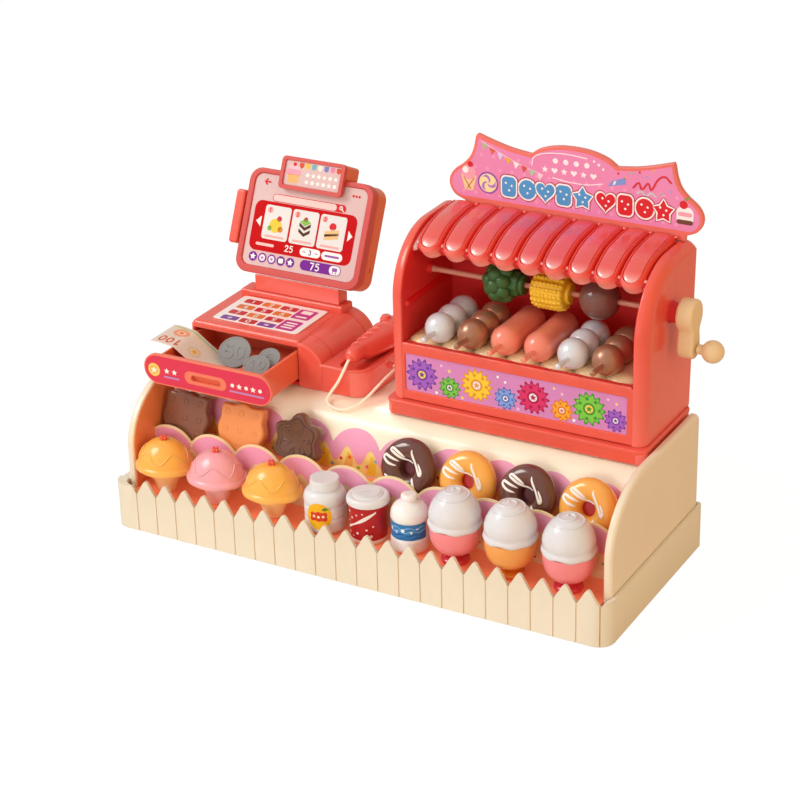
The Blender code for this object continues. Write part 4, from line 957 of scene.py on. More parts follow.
water_at = Vector((37.2, -61, FLOOR_Z))
water_line = rounded_profile(
    [(0, 42.5), (3.8, 42.4), (5.2, 41.9), (5.8, 40.8), (5.8, 39), (5.2, 38.2), (5, 37.6), (5.6, 37), (8.4, 35.9),
        (11.2, 33.6), (13, 30.2),
     (13.6, 26.4), (13.5, 24.8), (13, 24), (13, 24), (13, 11.4), (13, 11.4), (13.5, 10.7), (13.65, 9.4),
         (13.6, 3.6), (13, 1.2), (11.8, 0), (11.8, 0), (0, 0)], 0.8)
cloudy = moulded("cloudy_plastic", "F4F2EF", gloss=0.2, peel=0.08, mottle=0.02, coat=0.5, soft=0.45)
shaped("water_flask", turned(water_line, water_at, "Z", 64), cloudy, "white", "water_bottle", sharp=45)
on_water = around(water_at, lambda v: 13.05)
label_waves = [graph(lambda x, k=k: 12.6 + 2.6 * k + 0.7 * sin(0.62 * x + 1.3 * k), lambda x,
    k=k: 13.3 + 2.6 * k + 0.7 * sin(0.62 * x + 1.3 * k + 0.4), -19.5, 19.5, 1)
               for k in range(4)]
bubbles = [disc(-8.6, 18.6, 1.2, 14), disc(-3.4, 17.4, 0.8, 14), disc(1.6, 19.2, 1.4, 14), disc(7.6, 17.8, 0.9, 14),
    disc(12, 20.2, 0.7, 14)]
lay_print("water_label", [("2F7FBE", [[(-20, 11.6), (20, 11.6), (20, 23.8), (-20, 23.8)]]),
    ("14599C", label_waves[:2]), ("7FB9E4", label_waves[2:]), ("EAF4FB", bubbles)], on_water, "white",
    bend=(1.4, 0), rise=0.03)


# Sundaes. Three one-piece mouldings: a milky whipped dome that curls at its top and laps over a
# pink or orange bowl in a wavy skirt, on a short glossy foot.
whip_line = rounded_profile(
    [(0, 54.8), (3.4, 54.6), (7.6, 53.4), (11.6, 50.8), (14.8, 46.8), (17.2, 42), (18.3, 37.6), (18.2, 34.4),
        (17.9, 32.9), (18.5, 31.9),
     (19.2, 30.2), (18.9, 28.8), (17.8, 27.8), (17.2, 27.6), (17.2, 27.6), (0, 25)], 0.8)
bowl_line = rounded_profile([(0, 28), (17.4, 28), (17.4, 28), (18.1, 27.2), (18.3, 23.4), (17.6, 18.6),
    (15.8, 13.6), (12.6, 9.6), (8.6, 7), (6.2, 5.9), (5.6, 5.2), (5.6, 5.2), (0, 5.2)], 0.8)
stem_line = rounded_profile([(0, 5.6), (5.5, 5.6), (5.9, 4.9), (8.4, 3.9), (10, 2.6), (10.5, 1.2), (10.1, 0),
    (10.1, 0), (0, 0)], 0.6)
milk_white = moulded("milk_white", "E0E0E5", gloss=0.26, peel=0.1, mottle=0.02, coat=0.4, soft=0.1)
bowl_pink = moulded("bowl_pink", "F68C92", gloss=0.24, peel=0.1, mottle=0.04, coat=0.3, soft=0.12)
bowl_orange = moulded("bowl_orange", "F2A658", gloss=0.24, peel=0.1, mottle=0.04, coat=0.3, soft=0.12)
foot_pink = moulded("foot_pink", "DE3A50", gloss=0.14, peel=0.05, mottle=0.05, coat=0.8)
foot_orange = moulded("foot_orange", "E87E1E", gloss=0.14, peel=0.05, mottle=0.05, coat=0.8)


def skirted(a, r, h):
    if h < 31.6 and r > 16:
        share = min((31.6 - h) / 3, 1)
        return r, h + share * (0.55 * sin(7 * a) + 0.4 * sin(4 * a + 1))
    return r, h


for i, x in enumerate((74.2, 116.9, 160.8)):
    at = Vector((x, -63, FLOOR_Z))
    whip = turned(whip_line, at, "Z", 84, warp=skirted)
    windings, count = 2.1, 150
    curl = []
    for k in range(count + 1):
        t = k / count
        a = pi * 1.1 - 2 * pi * windings * t
        r = 0.8 + 12.6 * t ** 0.9
        h = next(h0 + (h1 - h0) * (r - r0) / max(r1 - r0, 1e-6)
            for (r0, h0), (r1, h1) in zip(whip_line, whip_line[1:]) if r0 <= r <= r1)
        curl.append(at + Vector((r * cos(a), r * sin(a), h - 0.25)))
    strand(whip, curl, lambda t: 1.25 * (1 - 0.35 * t) * (1 - max(t - 0.8, 0) / 0.2 * 0.9), 10)
    shaped(f"whipped_top_{i + 1}", whip, milk_white, "white", f"sundae_{i + 1}", sharp=60)
    shaped(f"sundae_bowl_{i + 1}", turned(bowl_line, at, "Z", 64), (bowl_pink, bowl_orange)[i % 2],
        ("pink", "orange")[i % 2], sharp=50)
    shaped(f"sundae_foot_{i + 1}", turned(stem_line, at, "Z", 48), (foot_pink, foot_orange)[i % 2],
        ("pink", "orange")[i % 2], sharp=50)


# Biscuits and rings. Two wavy square biscuits with dimples and a flower-shaped one lean on the back of the
# upper shelf, then four glazed rings, brown and orange in turn, with poured white stripes.
LEAN = radians(-18)
cocoa = moulded("cocoa_plastic", "84543E", gloss=0.28, peel=0.12, mottle=0.07, coat=0.35)
biscuit = moulded("biscuit_plastic", "EE9858", gloss=0.3, peel=0.12, mottle=0.04, coat=0.25, soft=0.12)
biscuit_deep = moulded("flower_plastic", "6E4838", gloss=0.22, peel=0.1, mottle=0.08, coat=0.5)
glaze_brown = moulded("glaze_brown", "64382E", gloss=0.2, peel=0.06, mottle=0.06, coat=0.9)
glaze_orange = moulded("glaze_orange", "F8B04C", gloss=0.2, peel=0.06, mottle=0.04, coat=0.7, soft=0.12)
plug_red = moulded("plug_red", "D8302A", gloss=0.3, peel=0.1, coat=0.3)
plug_wine = moulded("plug_wine", "7A2A34", gloss=0.3, peel=0.1, coat=0.3)
icing = moulded("icing_white", "FBF7F1", gloss=0.25, peel=0.08, mottle=0.02, coat=0.3)


def leant(at):
    return Matrix.Translation(Vector(at) * MM) @ Matrix.Rotation(LEAN, 4, "X")


def pillow(outline_at, layers, at, steps=96, dimples=()):
    """A moulded biscuit: its outline closes in towards both faces, and the front has pressed dimples."""
    bm = bmesh.new()
    front = layers[0][0]
    rings = []
    for depth, share in layers:
        outline = [outline_at(a, share) for a in turns(steps)]
        rings.append([bm.verts.new(Vector((x, depth, z)) * MM) for x, z in outline])
    bridged(bm, rings, ends=True)
    bmesh.ops.recalc_face_normals(bm, faces=bm.faces)
    done = joined(bm, *[(CUT, turned(ball(r, 10, 0.95), (x, front, z), "Y", 16))
        for x, z, r in dimples]) if dimples else bm
    for x, z, r in dimples:
        strand(done, [(x + u, front - 0.02, z + v) for u, v in disc(0, 0, r + 0.1)], 0.32, 8, closed=True)
    bmesh.ops.transform(done, matrix=leant(at), verts=done.verts)
    return done


def wavy_box(a, inset):
    """A square outline with soft waves along its edges."""
    c, s = cos(a), sin(a)
    reach_to = 1 / (abs(c) ** 6 + abs(s) ** 6) ** (1 / 6)
    side_at = (s if abs(c) > abs(s) else c) * reach_to
    r = (18.9 - inset) * reach_to + 1.2 * cos(2 * pi * side_at) * (1 - 0.3 * min(inset, 1.5))
    return r * c, r * s


def petals(a, inset):
    r = 18.5 - inset + 2.3 * cos(6 * (a - pi / 2)) * (1 - 0.2 * min(inset, 2))
    return r * cos(a), r * sin(a)


edge_layers = [(-4.5, 2.2), (-4.35, 1.2), (-3.8, 0.5), (-2.9, 0.1), (-2, 0), (2, 0), (3.4, 0.3), (4.2, 1), (4.5, 2)]
square_dimples = [(x, z, 1.9) for x in (-12.2, 0, 12.2) for z in (-12.2, 0, 12.2)]
for i, x in enumerate((-167, -118.4)):
    at = (x, -31.2, SHELF_Z + 19.2 * cos(LEAN) + 4.5 * abs(sin(LEAN)) + 0.4)
    shaped(f"square_biscuit_{i + 1}", pillow(wavy_box, edge_layers, at, 128, square_dimples), (cocoa, biscuit)[i],
        ("brown", "orange")[i], f"cookie_{i + 1}", sharp=35)
flower_layers = [(-4, 3.4), (-4.2, 3), (-5, 2.4), (-5, 1.4), (-4.4, 0.6), (-3.4, 0.1), (-2.4, 0), (2.4, 0),
    (3.9, 0.3), (4.7, 1), (5, 2)]
flower_at = (-70.4, -31, 75.6)
flower = pillow(petals, flower_layers, flower_at, 120)
inlay = bmesh.new()
strand(inlay, [Vector((petals(a, 4.9)[0], -4, petals(a, 4.9)[1])) for a in turns(90)], 0.7, 8, closed=True)
for k in range(6):
    a = 2 * pi * k / 6 + radians(12)
    along, side_of = Vector((cos(a), 0, sin(a))), Vector((-sin(a), 0, cos(a)))
    tear = []
    for j in range(22):
        t = 2 * pi * j / 22
        tear.append(along * (7.6 + 3.1 * cos(t)) + side_of * (2.2 * sin(t) * (0.62 + 0.38 * cos(t))) + Vector((0,
            -4, 0)))
    strand(inlay, tear, 0.6, 8, closed=True)
bmesh.ops.transform(inlay, matrix=leant(flower_at), verts=inlay.verts)
shaped("flower_biscuit", flower, biscuit_deep, "brown", "cookie_3", sharp=30)
shaped("flower_relief", inlay, biscuit_deep, "brown", sharp=60)

ring_line = [(13.4 + 8.3 * cos(a), 7.6 * sin(a)) for a in turns(32)]
STRIPES = (
    ((-7.2, 0.6), (-12.6, 2), (-16.6, 5), (-15.4, 7.2), (-10.6, 5.8), (-5.6, 4)),
        ((-12.8, 11.4), (-8.8, 9.4), (-3.4, 6.6), (1.8, 5.8), (5.6, 4.6)),
        ((-12.8, 11.4), (-10.4, 12.6), (-6, 10.6), (-1.2, 7.4)),
    ((4, 14), (4.4, 11), (6.8, 6.2), (10.6, -0.8), (12.2, -2.4), (12.4, 0.4), (9.6, 5.6)),
        ((5.8, -5.2), (7.6, -9.6), (9.4, -14.4)), ((4.4, -10), (6.2, -13), (7.6, -15.8)),
    ((-14.8, -6.2), (-9.4, -8.8), (-3, -11)), ((-10, -7.2), (-5.4, -11.8), (-0.6, -16.4)),
)
for i, x in enumerate((20.5, 67.7, 114.2, 160.4)):
    rise = 13.4 * cos(LEAN) + 6.2
    hold = Matrix.Translation(Vector((x, -30.4, 54.8 + rise)) * MM) @ Matrix.Rotation(pi / 2 + LEAN, 4, "X")
    ring = turned(ring_line, (0, 0, 0), "Z", 64, closed=True, place=hold)
    shaped(f"glazed_ring_{i + 1}", ring, (glaze_brown, glaze_orange)[i % 2], ("brown", "orange")[i % 2],
        f"donut_{i + 1}", sharp=60)
    plug = turned([(0, -2.6), (5.4, -2.6), (6.2, -3.4), (6.2, -4.2), (0, -4.2)], (0, 0, 0), "Z", 32, place=hold)
    shaped(f"ring_plug_{i + 1}", plug, (plug_wine, plug_red)[i % 2], ("brown", "orange")[i % 2], sharp=40)
    poured = bmesh.new()
    for stroke in STRIPES:
        line = []
        for p in smooth_route([(u, v, 0) for u, v in stroke], 0.7):
            r = hypot(p.x, p.y)
            off = min(max(r * 1.05 - 13.4, -7.8), 7.8)
            scale = (13.4 + off) / r
            line.append(Vector((p.x * scale, p.y * scale, 7.6 * sqrt(1 - (off / 8.3) ** 2) - 0.05)))
        strand(poured, line, lambda t: 1.04 * sqrt(max(1 - (2 * t - 1) ** 4, 0.02)), 10, flat=0.5,
            out=lambda p: Vector((0, 0, 1)) + Vector((p.x, p.y, 0)).normalized() * ((hypot(p.x, p.y) - 13.4) / 8.3))
    bmesh.ops.transform(poured, matrix=hold, verts=poured.verts)
    shaped(f"poured_stripes_{i + 1}", poured, icing, "white", sharp=60)


# Till. A hollow coral box stands on the deck and holds the drawer. Its round shoulder has two fine seams,
# and a lower cradle beside it holds the handset. Glossy injection-moulded plastic with rounded edges.
coral_gloss = moulded("coral_gloss", "EC5E4E", gloss=0.24, peel=0.12, mottle=0.04, wear_and_highlight=0.45, coat=0.35, soft=0.1)
frame_coral = moulded("frame_coral", "CE504C", gloss=0.4, peel=0.12, mottle=0.04, wear_and_highlight=0.4)
coral_flat = moulded("coral_satin", "EE7C62", gloss=0.36, peel=0.14, mottle=0.04, coat=0.1)
coral_orange = moulded("coral_orange", "EC6E4C", gloss=0.3, peel=0.14, mottle=0.04, coat=0.2)
# Deep red glows faintly: painted light that lifts the shaded linings and recesses it covers.
deep_red = moulded("deep_red", "D60E0C", gloss=0.42, peel=0.12,
    more={"Emission Color": srgb("D20A08"), "Emission Strength": 0.04})
till_box = joined(block((-184.6, -89.7), (6.5, 81.5), (DECK_Z, 136)), edge=3.2, segments=6, angle=60)
pod_line = [(0, 81.5), (21.4, 81.5), (22.4, 81.1), (22.9, 80.2), (22.65, 69), (22.1, 68.9), (22.1, 68.3),
    (22.6, 68.2),
            (21.1, 23.4), (20.55, 23.3), (20.55, 22.7), (21, 22.6), (20.5, 8.6), (20.2, 7.4), (19.2, 6.6),
                (18.4, 6.5), (0, 6.5)]
pod = joined(turned(pod_line, (-90.75, 0, 113.5), "Y", 112), (CUT, block((-120, -60), (0, 90), (60, DECK_Z))))
cradle_line = [(-86, 81.5), (-86, 6.6)] + loop_arc((-48.75, 20.6), 14, -90, 0, 12) + loop_arc((-38.75, 77.5), 4, 0,
    90, 6)
cradle_low = plate([inset_loop(cradle_line[::-1], 0.45, -999)[::-1]], "Z", (DECK_Z, 118.6))
cradle_lip = joined(plate([cradle_line], "Z", (118.3, 120.8)), edge=0.9, segments=4, angle=60)
pocket = rounded_box((-60, -38.6), (9.6, 60), 6, 6)
ledge = joined(block((-177.6, -87), (64.5, 80.9), (133, 141)), edge=1.8, segments=4, angle=60)
mouth = block((-182.4, -91.2), (0, 10.1), (90, 130.8))
bay = block((-182.4, -91.2), (9, 79.2), (90, 133.4))
till = joined(till_box, (ADD, pod), (ADD, cradle_low), (ADD, cradle_lip), (ADD, ledge), (CUT, mouth), (CUT, bay),
    (CUT, plate([pocket], "Z", (118.1, 130))))
faced("till_housing_shell", till, coral_gloss, "coral", "till_housing", sharp=32)
lip_line = bmesh.new()
strand(lip_line, smooth_route([(-182.8, 7.3, 131.4), (-137, 7.2, 131.4), (-91.4, 7.3, 131.4)], 4), 0.8, 12)
strand(lip_line, smooth_route([(-183.5, 7.4, 103), (-183.5, 7.4, 118), (-183.5, 7.4, 133.4)], 4), 1, 12)
shaped("mouth_lip", lip_line, coral_gloss, "coral", sharp=60)
saddle = bmesh.new()
strand(saddle, smooth_route([(-60.4, 26, 120.6), (-60.8, 29, 123.4), (-60.6, 36, 124.6), (-60.2, 43, 124.6),
    (-59.8, 46, 120.8)], 0.8), 1.1, 12)
shaped("handset_saddle", saddle, coral_gloss, "coral", sharp=60)
shaped("cord_gland", turned([(0, 3), (2, 3), (2.6, 2.6), (2.6, 0), (0, 0)], (-35.75, 44, 112.6), "X", 24),
    coral_gloss, "coral", sharp=45)
bottom = joined(block((-182.1, -91.6), (8, 78.8), (DECK_Z, 102)), edge=0.4)
faced("till_floor", bottom, deep_red, "coral", "till_bottom")


# Cash drawer. A shallow tray with a deep banknote well and a raised coin shelf slides in the till. Its front
# plate is a printed crimson stadium with a raised ring round the finger slot. The print carries no words.
tray_box = joined(block((-180.8, -92), (-41.2, 31), (105, 127.5)), edge=0.9, segments=3, angle=60)
hollows = [block((-178.8, -94), (-39.2, 29), (116.4, 140)), block((-178.8, -127), (-39.2, 29), (111.4, 140)),
           block((-178.8, -94), (-39.2, 29), (90, 109.4))]
drawer = joined(tray_box, *[(CUT, hollow) for hollow in hollows])
faced("cash_tray", drawer, coral_orange, "pale_coral", "drawer_tray", body="drawer", sharp=35)
plate_line = rounded_box((-194, -83), (104.2, 128.2), 11.95, 14)
slot_line = rounded_box((-152.4, -126.6), (112.4, 117.4), 2.4, 6)
front_plate = joined(plate([plate_line, slot_line], "Y", (41.5, 44.2)), edge=0.7, segments=4, angle=60)
faced("drawer_plate", front_plate, coral_flat, "crimson", "drawer_front", body="drawer", sharp=45)
ring_rim = joined(plate([rounded_box((-157.6, -122), (110.4, 119.6), 4.5, 8), slot_line], "Y", (44.2, 44.5)),
    edge=0.25, segments=2, angle=60)
faced("finger_ring", ring_rim, coral_flat, "coral", body="drawer", sharp=45)


def star(x, y, r, points=5, share=0.45, turn=0):
    line = []
    for k in range(points * 2):
        a = pi / 2 + turn + pi * k / points
        rr = r if k % 2 == 0 else r * share
        line.append((x + rr * cos(a), y + rr * sin(a)))
    return line


def pill(x0, x1, y, r, steps=8):
    return rounded_box((x0, x1), (y - r, y + r), r * 0.995, steps)


crimson_field = [rounded_box((-192.9, -84.1), (105.3, 127.1), 10.85, 14),
    rounded_box((-158.1, -121.5), (109.9, 120.1), 4.95, 8)]
drawer_shapes = [
    ("DB3455", crimson_field),
    ("F2B93C", [disc(-185, 115.4, 5.3, 32)]),
    ("B98AC4", [pill(-176.6, -163, 111.4, 0.7), pill(-119.4, -89.6, 111.4, 0.7)]),
    ("F9E9B8", [disc(-185, 115.4, 4.5, 28), disc(-185, 115.4, 4, 28)]),
    ("FBF3EC", [star(-185, 115.2, 3.1)] + [star(x, 116.2, 2.5) for x in (-173.6, -167)] + [disc(x, 116.2, 1.5, 16)
        for x in (-116.4, -104.6, -92.8)]
     + [star(x, 116.1, 2.5) for x in (-110.6, -98.8)]),
]
lay_print("drawer_print", drawer_shapes, flat_place((0, -44.2, 0)), "crimson", body="drawer", first=0.01, rise=0.03)


# Play money. A printed paper note curls out of the well, and three thin grey coins with raised rims
# and plain numbers lean on the shelf. The note's marks are a number, a rosette, a band and a seal.
# Figures are strokes in hundredths of their height, where O is a loop's middle and radii.
GLYPHS = {
    "0": (("O", 30, 50, 27, 47),),
    "1": ((12, 80, 34, 97), (34, 97, 34, 3)),
    "2": ((5, 76, 14, 92, 31, 97, 50, 88, 52, 68, 38, 44, 7, 5), (5, 4, 57, 4)),
    "3": ((6, 87, 28, 97, 50, 86, 48, 62, 26, 53), (26, 53, 52, 44, 55, 20, 32, 3, 4, 12)),
    "4": ((44, 3, 44, 97), (44, 97, 5, 30), (5, 30, 60, 30)),
    "5": ((52, 96, 12, 96), (12, 96, 9, 54), (9, 54, 32, 62, 54, 48, 52, 18, 30, 3, 5, 11)),
    "6": (("O", 30, 30, 25, 27), (47, 95, 22, 78, 7, 52, 5, 32)),
    "7": ((4, 96, 56, 96), (56, 96, 22, 3)),
    "8": (("O", 30, 74, 21, 23), ("O", 30, 27, 25, 24)),
    "9": (("O", 30, 70, 25, 27), (55, 68, 52, 42, 36, 16, 13, 5)),
    "+": ((30, 78, 30, 22), (2, 50, 58, 50)),
    "=": ((4, 64, 56, 64), (4, 36, 56, 36)),
}


def bar(points, width):
    """A stroke of even width with round ends, as one outline."""
    line = [Vector((x, y)) for x, y in points]
    left, right = [], []
    for i, here in enumerate(line):
        along = (line[min(i + 1, len(line) - 1)] - line[max(i - 1, 0)]).normalized()
        out = Vector((-along.y, along.x)) * width / 2
        left.append(here + out)
        right.append(here - out)
    caps = []
    for here, to, start in ((line[-1], line[-1] - line[-2], 90), (line[0], line[0] - line[1], 90)):
        a0 = atan2(to.y, to.x) + radians(start)
        caps.append([(here.x + width / 2 * cos(a0 - pi * k / 6), here.y + width / 2 * sin(a0 - pi * k / 6))
            for k in range(1, 6)])
    return [tuple(p) for p in left] + caps[0] + [tuple(p) for p in reversed(right)] + caps[1]


def figures(text, height, x, y, weight=0.17, turn=0, wide=1):
    """Plain figures in strokes of one width, centred on a point: a list of outlines for each stroke."""
    strokes = []
    pitch = 0.6 * height * wide + height * (weight + 0.07)
    start = -(len(text) - 1) * pitch / 2
    c, s = cos(turn), sin(turn)
    for n, mark in enumerate(text):
        def put_at(px, py):
            u = start + n * pitch + (px - 0.3) * height * wide
            v = (py - 0.5) * height
            return x + u * c - v * s, y + u * s + v * c
        for stroke in GLYPHS[mark]:
            if stroke[0] == "O":
                cx, cy, rx, ry = (c / 100 for c in stroke[1:])
                strokes.append([[put_at(cx + (rx + grow / wide) * cos(a), cy + (ry + grow) * sin(a))
                    for a in turns(26)]
                                for grow in (weight / 2, -weight / 2)])
            else:
                path = [(px / 100, py / 100) for px, py in zip(stroke[::2], stroke[1::2])]
                path = flat_route(path, 0.09) if len(path) > 2 else path
                strokes.append([bar([put_at(*p) for p in path], weight * height)])
    return strokes


def lettered(ink, *figure):
    """Figures as shapes for lay_print, each stroke a film of its own."""
    return [(ink, stroke) for stroke in figures(*figure)]


def inked(ink, *outlines):
    """Outlines of one ink, each a film of its own."""
    return [(ink, [outline]) for outline in outlines]


NOTE_LINE = (
    (-199, 129.4), (-192, 129.6), (-184, 128.9), (-178.4, 128.2), (-172, 124.4), (-165.5, 120.4),
    (-159, 116.8), (-153, 114), (-146, 112.4), (-139, 112), (-128.4, 111.9),
)
note_curve = smooth_route([(x, 0, z) for x, z in NOTE_LINE], 1.2)
note_length = sum((b - a).length for a, b in zip(note_curve, note_curve[1:]))
NOTE_T = 0.3


def on_note(u, v, w):
    """A point of the note: u along its length from its free end, v across it from front to back."""
    f = min(max(u / note_length, 0), 0.9999) * (len(note_curve) - 1)
    k = int(f)
    here = note_curve[k].lerp(note_curve[k + 1], f - k)
    along = (note_curve[min(k + 2, len(note_curve) - 1)] - note_curve[max(k - 1, 0)]).normalized()
    s, t = u / note_length, v / 30
    y = -27 + 30 * t + 2.6 * (1 - s) * t - 3 * s
    up = Vector((-along.z, 0, along.x))
    return (Vector((here.x, y, here.z)) + up * w) * MM


note_bm = cut_sheet([[(0, 0), (note_length, 0), (note_length, 30), (0, 30)]], (-NOTE_T / 2, NOTE_T / 2))
for axis, reach_to, pitch in (((1, 0, 0), note_length, 1.8), ((0, 1, 0), 30, 5)):
    for k in range(1, int(reach_to / pitch)):
        bmesh.ops.bisect_plane(note_bm, geom=note_bm.verts[:] + note_bm.edges[:] + note_bm.faces[:],
            plane_co=Vector(axis) * pitch * k * MM, plane_no=axis)
for v in note_bm.verts:
    v.co = on_note(v.co.x / MM, v.co.y / MM, v.co.z / MM)
note_paper = moulded("note_paper", "E6D8CE", gloss=0.72, peel=0.5, grain=1600, mottle=0.03, wear_and_highlight=0)
note = shaped("play_note", note_bm, note_paper, "paper", "banknote", body="drawer", sharp=50)
rosette = [(13.6 + (6.6 + 0.7 * sin(16 * a)) * cos(a), 20.4 + (5.2 + 0.6 * sin(16 * a)) * sin(a))
    for a in turns(128)]
inner_rose = [(13.6 + (4 + 0.5 * sin(12 * a)) * cos(a), 20.4 + (3.1 + 0.4 * sin(12 * a)) * sin(a))
    for a in turns(96)]
seal_dots = [disc(33.5 + 4.9 * cos(a), 11 + 4.4 * sin(a), 0.55, 8) for a in turns(16)]
note_shapes = [
    ("E2D2C6", [[(1.2, 1.4), (note_length - 2, 1.4), (note_length - 2, 28.6), (1.2, 28.6)]]),
    ("8FC79A", [[(3, 26.8), (note_length - 3, 26.8), (note_length - 3, 28), (3, 28)]]),
    ("E7C95A", [[(3, 25.4), (note_length - 3, 25.4), (note_length - 3, 26), (3, 26)]]),
    ("E8966E", [rosette]), ("F2BFA2", [inner_rose]), ("DE7A54", [disc(13.6, 20.4, 1.6, 16)]),
    ("DB9A86", seal_dots), ("E9CB6A", [disc(33.5, 11, 3.1, 20)]), ("D98C7C", [star(33.5, 11, 2)]),
]
lay_print("note_print", note_shapes, on_note, "paper", finish=paper_print, body="drawer", bend=(1.8, 0),
    first=NOTE_T / 2 + 0.005, rise=0.012)
number_strokes = lettered("CE5A34", "100", 7.6, 13, 6.8, 0.2, radians(180))
lay_print("note_number", number_strokes, on_note, "paper", finish=paper_print, body="drawer", bend=(1.8, 0),
    first=NOTE_T / 2 + 0.02)
for name in ("play_note", "note_print", "note_number"):
    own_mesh(bpy.data.objects[name])

coin_grey = moulded("coin_grey", "8F9294", gloss=0.34, peel=0.25, grain=1500, mottle=0.1, wear_and_highlight=0.5, coat=0.2)
for label, diameter, at, face_up, turn, text in (
    ("large", 25, (-140.5, -3.2, 121.45), 47, 16, "50"), ("medium", 20, (-112.6, -17, 121.6), 66, 20, "10"),
        ("small", 17, (-110.4, -3, 122.4), 56, 14, "5"),
):
    hold = Matrix.Translation(Vector(at) * MM) @ Matrix.Rotation(radians(turn), 4,
        "Z") @ Matrix.Rotation(radians(90 - face_up), 4, "X")
    r = diameter / 2
    coin_line = [(0, 0.55), (r - 1.5, 0.55), (r - 1.2, 0.8), (r - 0.3, 0.8), (r, 0.5), (r, -0.5), (r - 0.3, -0.8),
        (r - 1.2, -0.8), (r - 1.5, -0.55), (0, -0.55)]
    coin = turned(coin_line, (0, 0, 0), "Z", 64, place=hold)
    for stroke in figures(text, r * 0.86, 0, 0, 0.14):
        mark = cut_sheet(stroke, (0.5, 0.85))
        bmesh.ops.transform(mark, matrix=hold, verts=mark.verts)
        piece = {v: coin.verts.new(v.co) for v in mark.verts}
        for f in mark.faces:
            coin.faces.new([piece[v] for v in f.verts])
        mark.free()
    shaped(f"play_coin_{label}", coin, coin_grey, "grey", f"coin_{label}", body="drawer", sharp=35)


# Keypad. A white printed plate on the till's sloping top has twelve small keys, red, orange and
# purple in turn, and two tall magenta keys. Each key is a shallow printed pad under a gloss film.
key_plate = joined(plate([rounded_box((-171.8, -97.6), (15.8, 62.4), 2.6, 6)], "Z", (136.05, 136.9)), edge=0.3,
    segments=2, angle=60)
key_white = moulded("keypad_white", "FBF6F4", gloss=0.3, peel=0.08, mottle=0.02, coat=0.3)
faced("keypad_sheet", key_plate, key_white, "white", "keypad_plate")
KEY_ROWS = (("1", "C8252F"), ("2", "E07A2A"), ("3", "C8252F")), (("4", "E07A2A"), ("5", "C8252F"),
    ("6", "E07A2A")), (("7", "C8252F"), ("8", "E07A2A"), ("9", "C8252F")), (("+", "7B3FA0"), ("0", "C8252F"),
    ("=", "7B3FA0"))
pads, marks = [], []
for row, keys in enumerate(KEY_ROWS):
    for column, (mark, ink) in enumerate(keys):
        x, y = -158.8 + 16.1 * column, 53.6 - 11.1 * row
        pads.append((ink, [rounded_box((x - 7.2, x + 7.2), (y - 3.7, y + 3.7), 1.6, 4)]))
        marks += lettered("FDF7F5", mark, 5, x, y, 0.17, 0, 1.15)
for y, ink in ((48.4, "C02A8C"), (26.6, "C02A8C")):
    pads.append((ink, [rounded_box((-118.2, -102.8), (y - 8.8, y + 8.8), 1.6, 4)]))
marks.append(("FDF7F5", [rounded_box((-115, -106), (49.6, 55.2), 0.8, 3)]))
marks.append(("FDF7F5", [pill(-115.4, -105.6, 43.6, 1.2)]))
marks += [("FDF7F5", [pill(-115.4, -105.6, y, 1)]) for y in (30.8, 26.6, 22.4)]
lay_print("key_pads", pads, flat_place((0, 0, 136.9), "Z"), "red", first=0.005)
lay_print("key_marks", marks, flat_place((0, 0, 136.9), "Z"), "white", first=0.075)


# Monitor. A tilted display with a fat rounded frame, an orange back half and a framed header plate
# stands on a flat neck. A card slot hangs on its left side. The screen is a printed sticker.
tilt = Matrix.Translation(Vector((-127.75, 67.5, 158)) * MM) @ Matrix.Rotation(radians(-25), 4, "X")


def on_monitor(depth):
    return flat_place((0, depth, 0), "Y", tilt)


frame_out = rounded_box((-56.3, 52.7), (-3.2, 77.3), 10.4, 12)
frame_in = rounded_box((-51.4, 47.4), (2.4, 73.4), 6.6, 8)
bezel = joined(plate([frame_out, frame_in], "Y", (-8, 0), tilt), edge=1.95, segments=5, angle=60)
faced("monitor_frame", bezel, frame_coral, "coral", "monitor_bezel", sharp=50)
screen_bed = plate([rounded_box((-52.2, 48.2), (1.6, 74.2), 6.9, 8)], "Y", (-7.9, -1.5), tilt)
faced("monitor_bed", screen_bed, deep_red, "coral", "screen_plate")
rear_line = rounded_box((-55.6, 52), (-2.6, 76.7), 9.8, 12)
rear = joined(plate([rear_line], "Y", (-24, -8.3), tilt), edge=2.6, segments=5, angle=60)
monitor_orange = moulded("monitor_orange", "EC7346", gloss=0.32, peel=0.14, mottle=0.04, coat=0.15)
faced("monitor_rear", rear, monitor_orange, "pale_coral", "monitor_back", sharp=50)
port = plate([rounded_box((15, 16.8), (12.4, 16.6), 0.8, 4)], "X", (51.7, 52.08), tilt)
shaped("side_port", port, deep_red, "red")
header_rim = joined(plate([rounded_box((-28, 27), (63.8, 88.9), 3.5, 8),
    rounded_box((-25, 24), (67, 86.2), 1.6, 6)], "Y", (0.4, 4.6), tilt), edge=1.1, segments=4, angle=60)
faced("header_frame", header_rim, frame_coral, "coral", "header_box", sharp=50)
header_bed = plate([rounded_box((-25.6, 24.6), (66.4, 86.8), 1.8, 6)], "Y", (0.6, 3), tilt)
shaped("header_bed", header_bed, deep_red, "coral")
header_body = joined(plate([rounded_box((-27.4, 26.6), (76.6, 88.6), 2.6, 6)], "Y", (-19.6, 0.8), tilt), edge=1.7,
    segments=4, angle=60)
faced("header_block", header_body, monitor_orange, "coral", sharp=50)
reader = joined(plate([rounded_box((-66, -57.9), (16.8, 58.4), 2.4, 6)], "Y", (-14, 0), tilt), edge=2, segments=4,
    angle=60)
faced("card_slot_bar", reader, coral_gloss, "coral", "card_reader", sharp=50)
web = plate([rounded_box((-63, -55.8), (19, 56), 0.6, 3)], "Y", (-17, -11), tilt)
shaped("card_slot_web", web, monitor_orange, "coral")
neck_line = [(67.2, 141.2), (67.2, 153.4), (68, 153.8), (80, 148.2), (80, 141.2)]
neck = joined(plate([neck_line], "X", (-165.4, -91.4)), edge=0.8, segments=3, angle=40)
